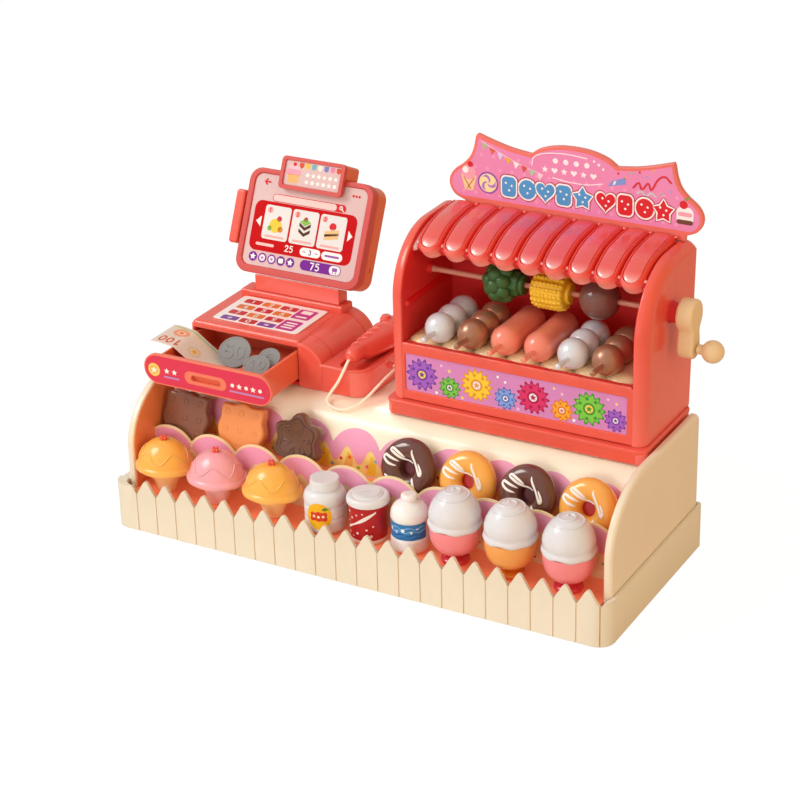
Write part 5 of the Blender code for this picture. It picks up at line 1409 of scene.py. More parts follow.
faced("monitor_stand", neck, coral_gloss, "pale_coral", "monitor_neck", sharp=50)

SCREEN_D, HEADER_D = 1.45, -3.05
RED_INK, WHITE_INK, VIOLET_INK = "D8303C", "FBF8F6", "7A2E9A"
screen_film = printed("screen_film", 0.42, 0.05, **{"Specular IOR Level": 0.1})
back_arrow = [(-43.6, 67.2), (-40.8, 69.9), (-40, 69.1), (-41.3, 67.8), (-37.4, 67.8), (-37.4, 66.6), (-41.3, 66.6),
              (-40, 65.3), (-40.8, 64.5)]
chevrons = [[(-6.6, z), (-1.6, z - 3.2), (3.4, z), (3.4, z + 2.6), (-1.6, z - 0.6), (-6.6, z + 2.6)]
            for z in (33.6, 38.2)]


def slab(low, high):
    """A layer of the cake on the third card."""
    return [(16.2, low), (28.2, low + 2.2), (28.2, high + 2.2), (16.2, high)]


screen_levels = {
    "ground": inked("DCC0C0", rounded_box((-51.1, 47.1), (2.7, 73.1), 6.3, 8)),
    "band": inked("C4060F", rounded_box((-47.6, 42.3), (14.4, 52.8), 6, 8)),
    "cards": inked("E6E6E6", *[rounded_box((x, x + 22.8), (24.1, 50.2), 2.2, 5) for x in (-38.1, -13.6, 10.8)]),
    "pieces": inked(RED_INK, pill(-33.7, 30.8, 56.2, 3), back_arrow, *[disc(x, 67, 1, 14) for x in (35, 37.6, 40.2)])
    + inked(WHITE_INK, [(-44.8, 36.7), (-40.4, 40.9), (-40.4, 32.6)], [(40.2, 36.8), (36.3, 40.8), (36.3, 32.7)],
            pill(-2.2, 15.8, 19.4, 3.2), pill(16.8, 35, 19.4, 3.2))
    + inked("F6C9C6", pill(-41.6, -25.4, 19.6, 1.1))
    + inked(VIOLET_INK, *[disc(x, 9.4, 3.7, 24) for x in (-42, -33.6, -25.3, -17.1, -8.8)], pill(0, 35.8, 9.6, 3.9)),
    "tops": inked("F1D3D0", rounded_box((-33.1, 22.6), (53.7, 58.7), 2.4, 6))
    + inked(WHITE_INK, rounded_box((25.6, 35.2), (6.2, 13), 3.2, 5))
    + inked("F4E6F2", *[disc(x, 9.4, 2.6, 20) for x in (-33.6, -25.3)])
    + inked(WHITE_INK, *[star(x, 9.4, 2.7, 5, 0.5) for x in (-42, -8.8)], rounded_box((-19.2, -15), (7.6, 11.2), 1, 4))
    + inked("F0A9A4", *[disc(x, 46.4, 2.3, 20) for x in (-33.7, -9.4, 14.8)])
    + lettered(WHITE_INK, "25", 4.8, -12, 19.5, 0.17) + lettered(WHITE_INK, "75", 5.4, 12.8, 9.6, 0.17)
    + lettered(VIOLET_INK, "3", 3.6, 6.8, 19.4, 0.17)
    + inked(VIOLET_INK, *[bar([(x, 19.4), (x + 2, 19.4)], 0.6) for x in (0.4, 11.2)])
    + inked("9A5AB4", pill(19.6, 32.2, 19.4, 0.8))
    + inked("F0B2AE", *[pill(x, x + 17, 26.4, 0.8) for x in (-35.2, -10.7, 13.7)])
    + inked("F3CF4B", disc(-27.2, 35, 5.4, 26)) + inked("7CC05A", disc(-32, 32.6, 1.9, 14))
    + inked("C9344A", disc(-24.6, 40.6, 2.1, 16)) + inked("E58C3A", disc(-22.4, 32.6, 2.2, 16))
    + inked("5A3A2C", *chevrons) + inked("8CC35A", [(-6.6, 41.4), (-1.6, 38.4), (3.4, 41.4), (-1.6, 44.4)])
    + inked(RED_INK, disc(-1.6, 43.6, 1.8, 14)) + inked("E9C68A", slab(30.8, 37.6))
    + inked("7A3B2C", slab(33.4, 35.2)) + inked(RED_INK, disc(22.4, 41.6, 3, 20)) + inked("F6E9DC", slab(37.6, 38.6)),
    "tips": lettered(RED_INK, "1", 3, -33.7, 46.4, 0.19) + lettered(RED_INK, "2", 3, -9.4, 46.4, 0.19)
    + lettered(RED_INK, "3", 3, 14.8, 46.4, 0.19)
    + [(WHITE_INK, [disc(26.4, 56.6, 1.5, 16), disc(26.4, 56.6, 0.8, 12)])]
    + inked(WHITE_INK, bar([(27.6, 55.4), (29, 54)], 0.7))
    + inked("B98AC4", *[disc(x, 9.4, 1.1, 12) for x in (-33.6, -25.3)])
    + inked("9A5AB4", rounded_box((28.2, 32.6), (8.6, 11.4), 0.6, 3), disc(29, 7.6, 0.6, 10), disc(31.8, 7.6, 0.6, 10)),
}
for level, (label, shapes) in enumerate(screen_levels.items()):
    lay_print(f"screen_{label}", shapes, on_monitor(SCREEN_D), "white", finish=screen_film, first=0.01 + 0.06 * level)

FLAG_INKS = ("D9563F", "F3C64E", "6FB7C9", "F0EDE6", "7A86C9", "E48BB0")
header_marks = []
for k in range(7):
    x = -11 + 5.4 * k
    flag = [(x - 1.9, 85.2), (x + 1.9, 85.2), (x + 1.9, 82.2), (x, 80.6), (x - 1.9, 82.2)]
    header_marks += inked(FLAG_INKS[k % 6], flag)
first_row, second_row = (-4.6, 5.2, 15), (0.3, 10.1, 19.9)
header_marks += inked("FBF4F2", *[disc(x, 76.6, 1.5, 18) for x in first_row], *[star(x, 76.6, 2.1) for x in second_row])
header_marks += inked("FBF4F2", *[star(x, 71.2, 2.1) for x in first_row], *[disc(x, 71.2, 1.5, 18) for x in second_row])
header_marks += inked("E9B878", [(-21, 69.2), (-13, 69.2), (-11.6, 75.6), (-22.4, 75.6)])
header_marks += inked("F6A3B8", rounded_box((-23.4, -10.6), (75.2, 79.4), 2, 6))
header_marks += inked("F9C6D2", rounded_box((-21.4, -12.6), (79, 82.2), 1.5, 6)) + inked(RED_INK, disc(-17, 83.4, 1.5, 16))
header_ground = inked("DCC0C0", rounded_box((-24.8, 23.8), (67.2, 86), 1.5, 6))
for label, shapes, first in (("ground", header_ground, 0), ("marks", header_marks, 0.06)):
    lay_print(f"header_{label}", shapes, on_monitor(HEADER_D), "white", finish=screen_film, first=first)


# Handset. A glossy hand-held reader lies in the cradle: a round nose that takes the cord, a ribbed grip that widens
# to the back, and a raised collar and button near its end. One hollow moulding.
def lofted(sections, steps=40, bm=None):
    """A round body through (y, x, z, across, up) sections, closed at both ends."""
    bm = bm or bmesh.new()
    rings = [[bm.verts.new(Vector((x + across * cos(a), y, z + up * sin(a))) * MM) for a in turns(steps)]
        for y, x, z, across, up in sections]
    return bridged(bm, rings, ends=True)


grip_stops = [(10.8, -50, 128.4, 1.6, 1.6), (11.2, -50, 128.4, 3, 3), (12.4, -50, 128.5, 4.6, 4.5),
    (15, -50, 128.8, 5.8, 5.7), (19, -50, 129, 6.4, 6.3), (23, -49.9, 129, 6.5, 6.4),
              (30, -48.6, 128.2, 8.5, 7.9), (38, -47.5, 128.3, 9.8, 8.7), (46, -46.7, 128.4, 11, 9.3),
                  (53, -46.2, 128.6, 11.9, 9.8), (60, -45.9, 128.8, 12.4, 10.1), (68, -46, 129.2, 12, 10),
              (73.6, -46.6, 129.6, 10.6, 9), (76.2, -47.2, 130, 8.4, 7), (77.2, -47.6, 130, 6, 5)]
fine_stops = []
for a, b in zip(grip_stops, grip_stops[1:]):
    for k in range(4):
        t = k / 4
        fine_stops.append(tuple(p + (q - p) * t for p, q in zip(a, b)))
fine_stops.append(grip_stops[-1])
grip = lofted(fine_stops, 48)
for y in (23.9, 32.5, 40.4, 48.4):
    x, z, across, up = next(tuple(p + (q - p) * (y - a[0]) / (b[0] - a[0]) for p, q in zip(a[1:], b[1:]))
        for a, b in zip(grip_stops, grip_stops[1:]) if a[0] <= y <= b[0])
    arch = [Vector((x + across * cos(t), y + 1.8 * sin(t) - 1, z + up * sin(t)))
        for t in (radians(74 + 84 * k / 16) for k in range(17))]
    strand(grip, arch, lambda t: 0.9 * sqrt(max(sin(pi * (0.06 + 0.88 * t)), 0.05)), 10)
collar = [Vector((-46 + 12.2 * cos(a), 58.6, 128.8 + 10 * sin(a))) for a in turns(48)]
strand(grip, collar, 0.6, 8, closed=True)
shaped("handset_grip", grip, coral_gloss, "coral", "handset", body="handset", sharp=60)
boss = turned(rounded_profile([(0, 3.4), (2.6, 3.4), (3.3, 3.1), (3.6, 2.4), (3.6, 2.4), (3.9, 1.4), (4.5, 1.2),
    (4.6, 0.6), (4.6, -2), (4.6, -2), (0, -2)], 0.5), (-50, 66, 138), "Z", 36)
shaped("handset_button", boss, coral_gloss, "coral", body="handset", sharp=45)
collar_piece = turned(rounded_profile([(0, 1.6), (2, 1.6), (2.9, 1.1), (3, 0.4), (3, -2.2), (3, -2.2), (0, -2.2)],
    0.5), (0, 0, 0), "Z", 24,
                      place=Matrix.Translation(Vector((-50, 11.6, 127.4)) * MM) @ Matrix.Rotation(radians(112), 4,
                          "X"))
shaped("cord_collar", collar_piece, coral_gloss, "coral", body="handset", sharp=45)


# Kiosk. A coral hood stands on its own stepped foot: two arched cheeks with a broad rolled edge, a back wall,
# a low front panel and a deep red lining inside. Glossy plastic, about 2.5 mm thick with hollow cheeks.
kiosk_plan = rounded_box((-13.4, 188.8), (-3, 82.2), 7, 10)
kiosk_plan_low = rounded_box((-13, 188.4), (-2.6, 81.8), 6.6, 10)
foot_low = plate([kiosk_plan_low], "Z", (DECK_Z, 106.6))
foot_top = joined(plate([kiosk_plan], "Z", (106.2, 110)), edge=1.25, segments=5, angle=60)
foot_block = joined(foot_low, (ADD, foot_top), (CUT, block((-9.5, 184.8), (0.5, 79.2), (90, 107.5))))
faced("kiosk_foot", foot_block, coral_gloss, "coral", "kiosk_base", sharp=40)

HOOD_FOOT = 110.3
hood_line = [(1.5, HOOD_FOOT)] + loop_arc((51.5, 184.5), 50, 180, 90, 56) + loop_arc((79.4, 226.5), 8, 90, 0,
    12) + [(82.4, HOOD_FOOT)]
for label, inner, outer, roll in (("left", -0.9, -10.6, 8.4), ("right", 177.1, 186.4, 7.6)):
    cheek = rimmed_wall(hood_line, rolled_rim(inner, outer, 0.9, roll, 8.4, 10), HOOD_FOOT, 0.15, 51.5)
    faced(f"hood_cheek_{label}", cheek, coral_gloss, "coral", "kiosk_shell", sharp=45)
lining_line = inset_loop(hood_line, 1.6, HOOD_FOOT, 0.15, 51.5)
for label, span in (("left", (-0.9, -0.3)), ("right", (176.5, 177.1))):
    faced(f"hood_lining_{label}", plate([lining_line], "X", span), deep_red, "red", sharp=50)
inner_rail = bmesh.new()
strand(inner_rail, [Vector((-0.5, 8 + 2 * k, 181.5)) for k in range(35)], 2.6, 14)
shaped("lining_rail", inner_rail, deep_red, "red", sharp=60)
faced("hood_back", joined(block((-2.6, 178.8), (78.6, 81), (110.7, 228)), edge=0.3), coral_flat, "coral")
shaped("back_lining", block((-0.2, 176.4), (77.9, 78.5), (110.8, 228)), deep_red, "red")
panel = joined(plate([[(-2.8, 110.6), (179, 110.6), (179, 152.8), (-2.8, 152.8)],
    rounded_box((1.2, 172.8), (117.3, 146), 1.2, 4)], "Y", (-4.6, -1.9)), edge=0.7, segments=4, angle=60)
faced("front_panel", panel, coral_gloss, "coral", sharp=50)
shaped("panel_bed", block((0, 174), (3, 4.4), (116.6, 146.8)), coral_gloss, "pink_card", "front_print")
sill = bmesh.new()
strand(sill, [Vector((-0.6 + 4 * k, 3, 153)) for k in range(45)], 1.15, 12)
shaped("panel_sill", sill, coral_gloss, "coral", sharp=60)
shaped("sill_shadow_strip", block((-0.2, 176.4), (4.4, 6.6), (144, 154.2)), deep_red, "red")
for label, span in (("front", (6.8, 8.2)), ("rear", (70, 78))):
    shaped(f"tray_ledge_{label}", block((-0.2, 176.4), span, (144.2, 148.8)), deep_red, "red")


# Front print. A sticker in the shallow recess of the front panel, lilac pink with a row of candy
# flowers, large and small in turn, and a few stars and dots.
def blossom(x, y, r, count, share=0.22, phase=0):
    return [(x + (r * (1 - share) + r * share * cos(count * a + phase)) * cos(a),
        y + (r * (1 - share) + r * share * cos(count * a + phase)) * sin(a))
        for a in (2 * pi * k / (count * 9) for k in range(count * 9))]


front_shapes = [("D68AC6", [rounded_box((1.5, 172.5), (117.6, 145.7), 0.9, 3)])]
FLOWERS = ((14.4, 131.4, 12.6, "6E3FA6", "A860CC", 14), (36.6, 125.6, 8.8, "3E8F38", "7ECB4E", 11),
    (58, 131.8, 12.8, "E59A14", "F8D23A", 15), (80.6, 126.2, 8.8, "4668BE", "84A8EA", 11),
           (102, 131.4, 12.8, "AE1450", "DE2F6E", 15), (124, 126, 8.8, "DE7414", "F8B030", 11),
               (144.6, 131.4, 12.8, "3E9A34", "7ED04A", 14), (164.4, 126.6, 8.8, "6E3FA6", "A860CC", 11))
front_top = []
for x, y, r, dark, light, count in FLOWERS:
    front_shapes.append((dark, [blossom(x, y, r, count, 0.12)]))
    front_top.append((1, light, [blossom(x, y, r * 0.86, count, 0.1)]))
    front_top.append((2, dark, [disc(x, y, r * 0.36, 24)]))
    front_top.append((3, "F7E9F4" if count % 2 else "F9D75E", [disc(x, y, r * 0.24, 20)]))
    front_top += [(3, dark, [disc(x + r * 0.6 * cos(a), y + r * 0.6 * sin(a), r * 0.1, 12)]) for a in turns(7)]
    front_top.append((4, dark, [star(x, y, r * 0.2)]))
for k, (x, y) in enumerate(((30, 141.4), (46.6, 119.8), (74.6, 141.6), (90.4, 120.2), (118, 141.6), (133.2, 120.4),
        (158.6, 141.4), (36.4, 138.4), (80.4, 138.6), (124.2, 138.4), (165, 139.2), (26, 119.6))):
    front_top.append((1, ("F7C8E4", "F9E27A", "FFFFFF")[k % 3], [star(x, y, 1.7) if k % 2 else disc(x, y, 1, 12)]))
front_place = flat_place((0, 3, 0))
lay_print("front_sticker", front_shapes[:1], front_place, "pink_card", first=0.02)
lay_print("front_flowers", front_shapes[1:], front_place, "pink_card", first=0.08)
for level in (1, 2, 3, 4):
    lay_print(f"front_marks_{level}", [(ink, o) for n, ink, o in front_top if n == level], front_place, "pink_card",
        first=0.08 + 0.05 * level)


# Awning. Nine half-round flutes come over the arch from the sign and end in round tongues. Each has a
# raised bead round a slightly sunk panel, and small nubs sit between the tongue ends. One coral moulding.
ARCH = (51.5, 184.5)
AXIS_R, FLUTE_R, FLUTE_STEP, AWNING_MIDDLE, FIRST_ANGLE = 44, 9.6, 19.2, 89.5, radians(44.2)
ARC_RUN = AXIS_R * (pi / 2 - FIRST_ANGLE)
FULL_RUN = ARC_RUN + 73.6 - ARCH[0]


def over_arch(x, height, run):
    rise = 1.8 * min(max((run - 16) / 30, 0), 1) ** 2 if height > -2 else 0
    r = AXIS_R + height + rise
    if run < ARC_RUN:
        a = FIRST_ANGLE + run / AXIS_R
        return Vector((x, ARCH[0] - r * cos(a), ARCH[1] + r * sin(a)))
    return Vector((x, ARCH[0] + run - ARC_RUN, ARCH[1] + r))


def awning_painted_light(tree):
    """Coral, with a painted white highlight at the tongue ends and a painted magenta reflection of the sign near the
    top middle.
    """
    spot = position(tree)
    high = mapped(tree, spot["Z"], 0.214, 0.236, 0, 0.55)
    away = maths(tree, "ABSOLUTE", maths(tree, "SUBTRACT", spot["X"], 0.0895))
    share = maths(tree, "MULTIPLY", high, mapped(tree, away, 0.02, 0.085, 1, 0))
    tip = maths(tree, "POWER", mapped(tree, spot["Z"], 0.2215, 0.2295, 0.95, 0), 1.6)
    return tinted(tree, tip, tinted(tree, share, srgb("EA4C3C"), srgb("E0305E")), srgb("FBE0DA"))


awning_coral = moulded("awning_coral", "EC5A47", gloss=0.26, peel=0.06, mottle=0.04, coat=1, soft=0.08,
    paint=awning_painted_light,
                        more={"Coat IOR": 1.85, "Coat Roughness": 0.2})
# The valley bodies are painted lighter towards their lower ends: a painted highlight to go with the tongue ends.
awning_valley = moulded("awning_valley", "E63A2E", gloss=0.28, peel=0.06, mottle=0.04, coat=0.3, soft=0.1,
    paint=fading(0.2165, 0.2245, "FF9C90", "E63A2E"))


# Each flute is drawn as loops inside its own outline: distance from the edge, then height above the arch.
FLUTE_STEPS = ((0, -2.3), (0.05, 4), (0.5, 6.2), (1.2, 7.5), (2, 8.2), (2.5, 8.2), (2.8, 7.9), (3, 7), (3.1, 6.6),
    (6.6, 6.6))
PANEL_STEPS = ((3.15, 6.3), (3.15, 7.5), (3.35, 8), (3.7, 8.25), (5, 8.5), (7, 8.75))

straight = [FLUTE_R + (FULL_RUN - FLUTE_R) * k / 34 for k in range(35)]
def flute(middle, steps, crown):
    """One flute of the awning: a long row of loops, closed at its front by a half-round end."""
    bm = bmesh.new()

    def corner(across, height, run):
        return bm.verts.new(over_arch(middle + across, height, run) * MM)
    rising = [(inset - FLUTE_R, height) for inset, height in steps]
    columns = rising + [(0, crown)] + [(-across, height) for across, height in reversed(rising)]
    rows = [[corner(across, height, run) for across, height in columns] for run in straight]
    bridged(bm, rows)
    bm.faces.new(rows[-1])
    half = len(steps)
    spokes = [rows[0][:half]]
    for a in turns(24, 0.5)[1:]:
        spokes.append([corner(across * cos(a), height, FLUTE_R + across * sin(a)) for across, height in rising])
    spokes.append([*reversed(rows[0][half + 1:])])
    hub = rows[0][half]
    for a, b in zip(spokes, spokes[1:]):
        for k in range(half - 1):
            bm.faces.new((a[k], a[k + 1], b[k + 1], b[k]))
        bm.faces.new((a[-1], hub, b[-1]))
    bm.faces.new([spoke[0] for spoke in spokes])
    return bm


for n in range(9):
    middle = AWNING_MIDDLE + FLUTE_STEP * (n - 4)
    shaped(f"awning_flute_{n + 1}", flute(middle, FLUTE_STEPS, 6.6), awning_valley, "coral", "awning", sharp=50)
    shaped(f"awning_panel_{n + 1}", flute(middle, PANEL_STEPS, 8.85), awning_coral, "coral", sharp=50)
sheet_rings = []
awning_sheet = bmesh.new()
for k in range(30):
    run = 3.6 + (FULL_RUN - 3.6) * k / 29
    sheet_rings.append([awning_sheet.verts.new(over_arch(x, h, run) * MM)
        for x, h in ((3.1, -2.4), (175.9, -2.4), (175.9, 3.4), (3.1, 3.4))])
shaped("awning_sheet", bridged(awning_sheet, sheet_rings, ends=True), deep_red, "coral", sharp=40)
nubs = bmesh.new()
for n in range(10):
    centre = over_arch(AWNING_MIDDLE + FLUTE_STEP * (n - 4.5), 4.6, 7.2)
    turned(ball(1.3), centre, "Z", 14, bm=nubs)
shaped("awning_nubs", nubs, awning_coral, "coral", sharp=60)
faced("top_bar", joined(block((-2.6, 178.8), (74.2, 80.2), (225, 234.2)), edge=0.9, segments=3), awning_coral,
    "coral")
blank = bmesh.new()
for side_x, step in ((-0.2, 1), (176.4, -1)):
    fillers = [over_arch(side_x, 0.4, 4 + (FULL_RUN - 4) * k / 24) for k in range(25)]
    strand(blank, fillers, 2.6, 12)
shaped("awning_end_rails", blank, awning_coral, "coral", sharp=60)


# Sign. A flat board with swept ears stands along the top bar in a row of small ribs. Its face is a pink print with
# a coral border: bunting, sweets in blue and red, streamers, stars and dots.
SIGN_X = 97.4
half_sign = flat_route([(0, 290), (9, 289.6), (18, 288), (26.5, 285), (33, 280.6)], 1.6)
half_sign += flat_route([(33, 280.6), (48, 282.6), (62, 286), (74.6, 289.8)], 2)[1:]
half_sign += flat_route([(74.6, 289.8), (75.6, 287.4), (77.4, 279.2), (80.6, 272), (86.4, 266), (92.4, 261.4),
    (96.4, 255.6), (96.9, 249), (93.2, 242.6), (86.6, 239.4), (84.8, 238.8)], 1.6)[1:]
sign_loop = [(SIGN_X + dx, z) for dx, z in half_sign + [(84.4, 234.8)]] + [(SIGN_X - dx, z)
    for dx, z in reversed(half_sign[1:] + [(84.4, 234.8)])]
sign_coral = moulded("sign_coral", "EC7468", gloss=0.34, peel=0.1, mottle=0.04, coat=0.2)
board = joined(plate([sign_loop], "Y", (-79.8, -75.4)), edge=0.7, segments=3, angle=60)
faced("sign_plate", board, sign_coral, "pink_card", "sign_board", sharp=50)
print_half = [p for p in half_sign if p[1] > 239.3]
print_loop = [(SIGN_X + dx, z) for dx, z in print_half] + [(SIGN_X - dx, z) for dx, z in reversed(print_half[1:])]
print_loop = inset_loop(print_loop, 2.3, -999)
ribs = bmesh.new()
for n in range(9):
    x = AWNING_MIDDLE + FLUTE_STEP * (n - 4)
    strand(ribs, [Vector((x + 8.6, 73.9, 236.6)), Vector((x + 9.6, 74, 237.4)), Vector((x + 10.8, 74.6, 238.2))], 1,
        10)
shaped("sign_ribs", ribs, awning_coral, "coral", sharp=60)


def within(outline, x, y):
    """True for a point inside the outline."""
    return sum((y0 > y) != (y1 > y) and x < x0 + (y - y0) * (x1 - x0) / (y1 - y0)
        for (x0, y0), (x1, y1) in zip(outline, outline[1:] + outline[:1])) % 2 == 1


def heart(x, y, r):
    line = []
    for k in range(28):
        t = 2 * pi * k / 28
        line.append((x + r * sin(t) ** 3,
            y + r * (13 * cos(t) - 5 * cos(2 * t) - 2 * cos(3 * t) - cos(4 * t)) / 16))
    return line


def swelled(outline, grow):
    """The outline moved outwards from its middle."""
    cx, cy = (sum(c) / len(outline) for c in zip(*outline))
    return [(cx + (x - cx) * (1 + grow / max(hypot(x - cx, y - cy), 1e-6)),
        cy + (y - cy) * (1 + grow / max(hypot(x - cx, y - cy), 1e-6))) for x, y in outline]


sign_levels = {n: [] for n in range(7)}


def ink_on(level, ink, *outlines):
    """Outlines of one ink put on one of the sign's films."""
    sign_levels[level].append((ink, list(outlines)))


ink_on(0, "E88BBB", print_loop)
for k in range(60):
    x, z = 12 + 9.6 * (k % 18) + 4.8 * ((k // 18) % 2), 246 + 9.6 * (k // 18)
    if within(print_loop, x - 1.5, z) and within(print_loop, x + 1.5, z):
        ink_on(1, "EFA0C8", disc(x, z, 1.3, 10))
SWEETS = [(48, "blue", "square"), (62.4, "blue", "round"), (76.4, "blue", "heart"), (90.6, "blue", "square"),
    (105, "blue", "star"),
          (122.6, "red", "heart"), (137.2, "red", "square"), (151.8, "red", "round"), (165.6, "red", "star")]
for n, (x, tint, form) in enumerate(SWEETS):
    z = 254.2
    core = {"square": rounded_box((x - 5.2, x + 5.2), (z - 6.4, z + 6.4), 3, 5), "round": disc(x, z, 6.2, 28),
        "heart": heart(x, z + 0.6, 6.8), "star": star(x, z, 7.4, 5, 0.56)}[form]
    core = [(x + 1.06 * (px - x), z + 1.14 * (pz - z)) for px, pz in core]
    ink_on(2 if n % 2 else 3, "A8243C", swelled(core, 2))
    ink_on(3 if n % 2 else 4, "FBF4F4", swelled(core, 1.3))
    ink_on(5, ("4E9AD6" if tint == "blue" else "D6202E"), core)
    for k, (dx, dz) in enumerate(((-2.4, 2.6), (0.2, -2.6), (2.2, 1))):
        ink_on(6, "F6FAFD", disc(x + dx, z + dz, 0.85, 10))
ink_on(2, "8E55B4", disc(31.4, 254.6, 8.2, 32))
ink_on(3, "F6E4A8", disc(31.4, 254.6, 6.9, 30))
for k in range(3):
    a0 = 2 * pi * k / 3
    ink_on(4, "B07CD0", [(31.4 + r * cos(a0 + r * 0.28 + d), 254.6 + r * sin(a0 + r * 0.28 + d))
        for r, d in [(0.6 + 5.8 * j / 10, 0) for j in range(11)] + [(6.4 - 5.8 * j / 10, 0.72) for j in range(11)]])
FLAGS = ("A8C48E", "D9654A", "D8D0EE", "EDB23C", "F6EFE8", "D9563F", "A9CFA0", "F3D0DC")
for k, ink in enumerate(FLAGS):
    x, z = 29 + 6.2 * k, 282.6 - 3 * k + 0.1 * k * k
    ink_on(2, ink, [(x - 2.4, z + 1.5), (x + 2.4, z + 0.1), (x - 0.6, z - 4)])
ink_on(1, "F7D8E6", bar([(26.5, 285), (45, 276.4), (60, 270.6), (74, 267)], 0.5))
for x in (84, 92, 100, 108):
    ink_on(2, "FBEFF5", disc(x, 278.6, 2, 18))
for k, x in enumerate((76, 83.4, 90.8, 98.2, 105.6, 113)):
    ink_on(2, "FBEFF5", heart(x, 271.4, 2.4) if k % 2 else star(x, 271.4, 2.6))
sweep_line = flat_route([(66, 273), (67.4, 279), (76, 283), (92, 284.6), (108, 283.6)], 2)
ink_on(2, "FBEFF5", bar(sweep_line, 0.7))
sweep_low = flat_route([(82, 266), (94, 264.6), (108, 264.6), (120, 267)], 2)
ink_on(2, "FBEFF5", bar(sweep_low, 0.7))
for x, z, r in ((113.4, 282.4, 0.9), (117, 280.4, 1.1), (120.4, 277.6, 0.9)):
    ink_on(2, "FBEFF5", disc(x, z, r, 12))
for ink, points in (("D6303C",
        ((143, 268), (147, 272), (149.4, 267.4), (154, 272.6), (156.4, 268), (161, 276), (166, 279),
        (170.6, 275.4))),
                    ("C9C4CC", ((146, 264.4), (149.4, 266), (152.6, 263), (156, 266), (160, 263.6)))):
    ink_on(2, ink, bar(flat_route(points, 1.2), 1.5))
for k, (x, z) in enumerate(((137, 274), (141.4, 278), (147.6, 279.6), (152.4, 277), (158, 282.4), (164, 266.4),
        (131.6, 276.4), (170.4, 269))):
    ink_on(2, ("E9B23C", "8ACB9A", "D6303C", "9AA6E0")[k % 4], disc(x, z, 0.9, 10))
ink_on(2, "7C9ADC", [(124, 266), (137.4, 269.4), (137, 274), (127, 270.4)])
ink_on(3, "F6EFE8", [(127.6, 267.6), (129.4, 268.1), (130.4, 271), (128.6, 270.4)])
ink_on(2, "F1D3A4", [(13, 247), (19.4, 247), (22.4, 258.6), (10, 258.6)])
ink_on(3, "F6A3B8", disc(16.2, 260.6, 5.6, 24))
ink_on(4, "FBF4F4", disc(13.6, 262, 2.4, 18))
for top, foot in ((12.2, 17.6), (20.2, 14.8)):
    ink_on(4, "C9702E", bar([(top, 256.4), (foot, 248.2)], 0.7))
ink_on(4, "D6202E", disc(17.4, 266.6, 2.2, 16))
ink_on(2, "FBF4F4", rounded_box((175.2, 187.6), (247.4, 259.6), 4, 6))
ink_on(3, "6E4436", pill(175.4, 187.4, 248.8, 1.6))
ink_on(3, "D6202E", disc(180.2, 261.2, 3, 18))
ink_on(3, "F6A3B8", pill(176.2, 186.6, 254.4, 1.5))
ink_on(3, "6FA84C", bar([(181.2, 264.8), (184.2, 267)], 1.2))
sign_place = flat_place((0, 75.4, 0))
for level in range(7):
    lay_print(f"sign_print_{level}", sign_levels[level], sign_place, "pink_card", first=0.01 + 0.05 * level)


# Grill tray. A cream insert lies on the ledges inside the hood, with seven loaf-shaped ridges that
# keep the skewers apart. Satin plastic with a pearly glaze.
pearl_cream = moulded("pearl_cream", "EBCB9C", gloss=0.3, peel=0.15, mottle=0.05, coat=0.3)
faced("grill_bed", joined(block((-0.2, 176.4), (8.6, 77.6), (149, 153)), edge=0.6), pearl_cream, "cream",
    "grill_tray")
loaves = bmesh.new()
for n in range(7):
    x = 89.25 + 25.8 * (n - 3)
    sections = []
    for k in range(10):
        a = pi / 2 * k / 9
        sections.append((5.4 + 9 * (1 - cos(a)), x, 151.6, max(12.6 * sin(a), 0.3), max(6.9 * sin(a), 0.2)))
    for k in range(1, 9):
        sections.append((14.4 + 62.6 * k / 8, x, 151.6, 12.6, 6.9))
    sections = [(y, min(max(cx, 12), 164.5), cz, min(across, 12.4), up) for y, cx, cz, across, up in sections]
    lofted(sections, 40, loaves)
shaped("grill_ridges", loaves, pearl_cream, "cream", sharp=60)


# Skewers. Six sticks of food lie between the ridges: balls in white and brown, and two
# sausages, each moulded in one piece with its stick. Glossy, slightly pearly plastic.
BALL_R = 11.1
pearl_white = moulded("pearl_white", "DBDEE6", gloss=0.26, peel=0.05, mottle=0.03, coat=0.8, soft=0.1,
    more={"Metallic": 0.12})
pearl_brown = moulded("pearl_brown", "B07C60", gloss=0.3, peel=0.05, mottle=0.06, coat=0.8, more={"Metallic": 0.5})
sausage_pink = moulded("sausage_pink", "EE8A74", gloss=0.2, peel=0.05, mottle=0.05, coat=0.6, soft=0.15)
meet = degrees(asin(17.5 / 2 / BALL_R))
ball_row = [(0, 63.4), (1.6, 63.4), (1.7, 58.6)] + loop_arc((0, 47.5), BALL_R, 80, -meet, 16)
ball_row += loop_arc((0, 30), BALL_R, meet, -meet, 14)[1:] + loop_arc((0, 12.5), BALL_R, meet, -79, 16)[1:]
roast = [(0, 63.4), (1.6, 63.4), (1.7, 62.2)] + loop_arc((0, 52), BALL_R - 0.2, 80, 0, 12)
roast += [(BALL_R - 0.2 - 0.5 * sin(pi * k / 8), 52 - 39 * k / 8)
    for k in range(1, 8)] + loop_arc((0, 13), BALL_R - 0.2, 0, -79, 12)
for n in range(6):
    x = 89.25 + 25.8 * (n - 2.5)
    stub = [(2.1, 1.6), (2, -3), (2, -9), (2.1, -11.6), (2, -12.6), (1.4, -13.2), (0, -13.5)]
    profile = (roast if n in (2, 3) else ball_row) + stub
    plastic = (pearl_white, pearl_brown, sausage_pink, sausage_pink, pearl_white, pearl_brown)[n]
    shaped(f"skewer_food_{n + 1}", turned(profile, (x, 0, 166), "Y", 56), plastic,
        ("white", "tan", "pink", "pink", "white", "tan")[n], f"skewer_{n + 1}", sharp=50)


